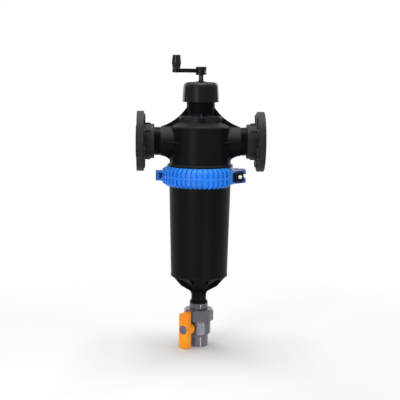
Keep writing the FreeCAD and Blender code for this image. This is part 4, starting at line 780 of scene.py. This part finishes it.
def lay_floor(sizes):
    """Disc that fades out before its edge: its radius grows along one parameter and its angle along
    the other. It is clear from below, casts no shadow and doesn't show in reflections.
    """
    rings, steps, inner_radius, fade_end = 24, 96, 0.02, 0.97
    radius = np.linspace(inner_radius, sizes.floor_radius, rings)[:, None]
    angle = np.linspace(0, TURN, steps, endpoint=False)[None]
    height = np.full((rings, steps), FLOOR_Z - sizes.floor_gap)
    points = np.stack([AXIS_X + radius * np.cos(angle), radius * np.sin(angle), height], axis=-1)
    faces = tube_faces(rings, steps)[:, ::-1].tolist() + [list(range(steps))]
    mesh = bpy.data.meshes.new("floor")
    mesh.from_pydata(points.reshape(-1, 3).tolist(), [], faces)
    floor = bpy.data.objects.new("floor", mesh)
    bpy.context.scene.collection.objects.link(floor)
    paint = Paint("floor_paper")
    x, y = paint.parts(paint.spot((AXIS_X, 0, 0)))[:2]
    fade = 1 - radius_of(x, y).step(sizes.floor_clear, sizes.floor_radius * fade_end)
    fade = fade * (1 - paint.node("ShaderNodeNewGeometry", output="Backfacing"))
    speck = paint.noise(paint.spot(), 30.0, 3.0)
    base = paint.mix(speck, shade(sizes.floor_colour, 0.99), shade(sizes.floor_colour))
    mesh.materials.append(paint.finish(Base_Color=base, Roughness=0.9, Specular_IOR_Level=0.0, Alpha=fade))
    floor.visible_glossy = False
    floor.visible_shadow = False


def hang_backdrop(sizes):
    """White where the camera, gloss and glass see it, and otherwise soft light, stronger from above."""
    world = bpy.data.worlds.new("studio")
    bpy.context.scene.world = world
    sky = Nodes(world)
    camera, gloss, glass = (sky.node("ShaderNodeLightPath", output=f"Is {ray} Ray")
                            for ray in ("Camera", "Glossy", "Transmission"))
    height = sky.parts(sky.node("ShaderNodeTexCoord", output="Generated"))[2]
    strength = sky.node("ShaderNodeMapRange", {}, {
        "Value": height, "From Min": -0.3, "To Min": 0.35 * sizes.sky_strength,
        "To Max": 1.6 * sizes.sky_strength})
    light = sky.node("ShaderNodeBackground", {}, {"Color": shade(sizes.sky_colour), "Strength": strength})
    white = sky.node("ShaderNodeBackground", {}, {"Color": (1, 1, 1, 1), "Strength": 1.0})
    seen = camera.at_least(gloss.at_least(glass))
    surface = sky.node("ShaderNodeMixShader", {}, {0: seen, 1: light, 2: white})
    sky.node("ShaderNodeOutputWorld", {}, {"Surface": surface})


class FILTER_OT_stage(bpy.types.Operator):
    """Pale floor that fades into a white backdrop"""

    bl_idname = "filter.stage"
    bl_label = "Stage"

    def execute(self, context):
        lay_floor(context.scene.filter_stage)
        hang_backdrop(context.scene.filter_stage)
        context.scene.view_settings.view_transform = "Standard"
        return {"FINISHED"}


def lamp(name, place, aim, width, height, power, in_gloss):
    """Soft lamp that faces a point and isn't itself seen. Places are measured from the upright axis."""
    data = bpy.data.lights.new(name, "AREA")
    data.shape = "RECTANGLE"
    data.size = width
    data.size_y = height
    data.energy = power
    made = bpy.data.objects.new(name, data)
    axis = Vector((AXIS_X, 0, 0))
    look = (Vector(aim) - Vector(place)).to_track_quat("-Z", "Y")
    made.matrix_world = Matrix.Translation(axis + Vector(place)) @ look.to_matrix().to_4x4()
    made.visible_camera = False
    made.visible_glossy = in_gloss
    bpy.context.scene.collection.objects.link(made)


class FILTER_OT_lamps(bpy.types.Operator):
    """Soft studio lamps: front left, overhead, right, two behind and a small low one"""

    bl_idname = "filter.lamps"
    bl_label = "Lamps"

    def execute(self, context):
        sizes = context.scene.filter_stage
        body, head, drain = (0, 0, -0.2), (0, 0, 0.15), (0, 0, -0.63)
        # Place, aim, width, height, power, and whether reflections show the lamp
        lamp("left_lamp", (-1.2, -1.95, 0.15), head, 0.7, 1.6, sizes.left_power, True)
        lamp("top_lamp", (0, 0.2, 2.0), body, 0.75, 1.3, sizes.top_power, True)
        lamp("fill_lamp", (2.0, -1.4, 0.4), body, 1.2, 1.6, sizes.fill_power, False)
        lamp("back_left_lamp", (-1.3, 1.9, 0.5), body, 0.6, 1.8, sizes.back_power, True)
        lamp("back_right_lamp", (1.3, 1.9, 0.5), body, 0.6, 1.8, sizes.back_power, True)
        lamp("low_lamp", (0.9, -2.01, -1.2), drain, 0.12, 0.6, sizes.low_power, True)
        return {"FINISHED"}


class FILTER_OT_camera(bpy.types.Operator):
    """Camera at the photograph's viewing angle"""

    bl_idname = "filter.camera"
    bl_label = "Camera"

    def execute(self, context):
        sizes = context.scene.filter_camera
        data = bpy.data.cameras.new("camera")
        data.sensor_width = SENSOR_WIDTH
        data.lens = sizes.lens
        data.clip_end = VIEW_END
        made = bpy.data.objects.new("camera", data)
        round_axis = Matrix.Translation((AXIS_X, 0, 0)) @ Matrix.Rotation(-sizes.yaw, 4, "Z")
        place = Matrix.Translation((sizes.aside, -sizes.distance, sizes.height))
        look = Matrix.Rotation(math.pi / 2 - sizes.pitch, 4, "X") @ Matrix.Rotation(sizes.roll, 4, "Z")
        made.matrix_world = round_axis @ place @ look
        context.scene.collection.objects.link(made)
        context.scene.camera = made
        return {"FINISHED"}


class FILTER_PT_panel(bpy.types.Panel):
    """Lists the filter's operators and their settings."""

    bl_idname = "FILTER_PT_panel"
    bl_label = "Screen filter"
    bl_space_type = "VIEW_3D"
    bl_region_type = "UI"
    bl_category = "Filter"

    def draw(self, context):
        for kind in OPERATORS:
            self.layout.operator(kind.bl_idname)
        for name, kind in SETTINGS.items():
            box = self.layout.box()
            for setting in kind.__annotations__:
                box.prop(getattr(context.scene, name), setting)


OPERATORS = (FILTER_OT_finishes, FILTER_OT_port_threads, FILTER_OT_small_threads, FILTER_OT_cap_rim,
             FILTER_OT_bristles, FILTER_OT_stage, FILTER_OT_lamps, FILTER_OT_camera)
SETTINGS = {"filter_threads": ThreadSettings, "filter_brush": BrushSettings,
            "filter_cap_rim": CapRimSettings, "filter_finish": FinishSettings,
            "filter_stage": StageSettings, "filter_camera": CameraSettings}


def register():
    """Register the settings, operators and panel."""
    for kind in (*SETTINGS.values(), *OPERATORS, FILTER_PT_panel):
        bpy.utils.register_class(kind)
    for name, kind in SETTINGS.items():
        setattr(bpy.types.Scene, name, bpy.props.PointerProperty(type=kind))


def unregister():
    """Undo register."""
    for name in SETTINGS:
        delattr(bpy.types.Scene, name)
    for kind in reversed((*SETTINGS.values(), *OPERATORS, FILTER_PT_panel)):
        bpy.utils.unregister_class(kind)


def main():
    """Make the whole scene."""
    register()
    for kind in OPERATORS:
        getattr(bpy.ops.filter, kind.bl_idname.split(".")[1])()


if __name__ == "__main__":
    main()
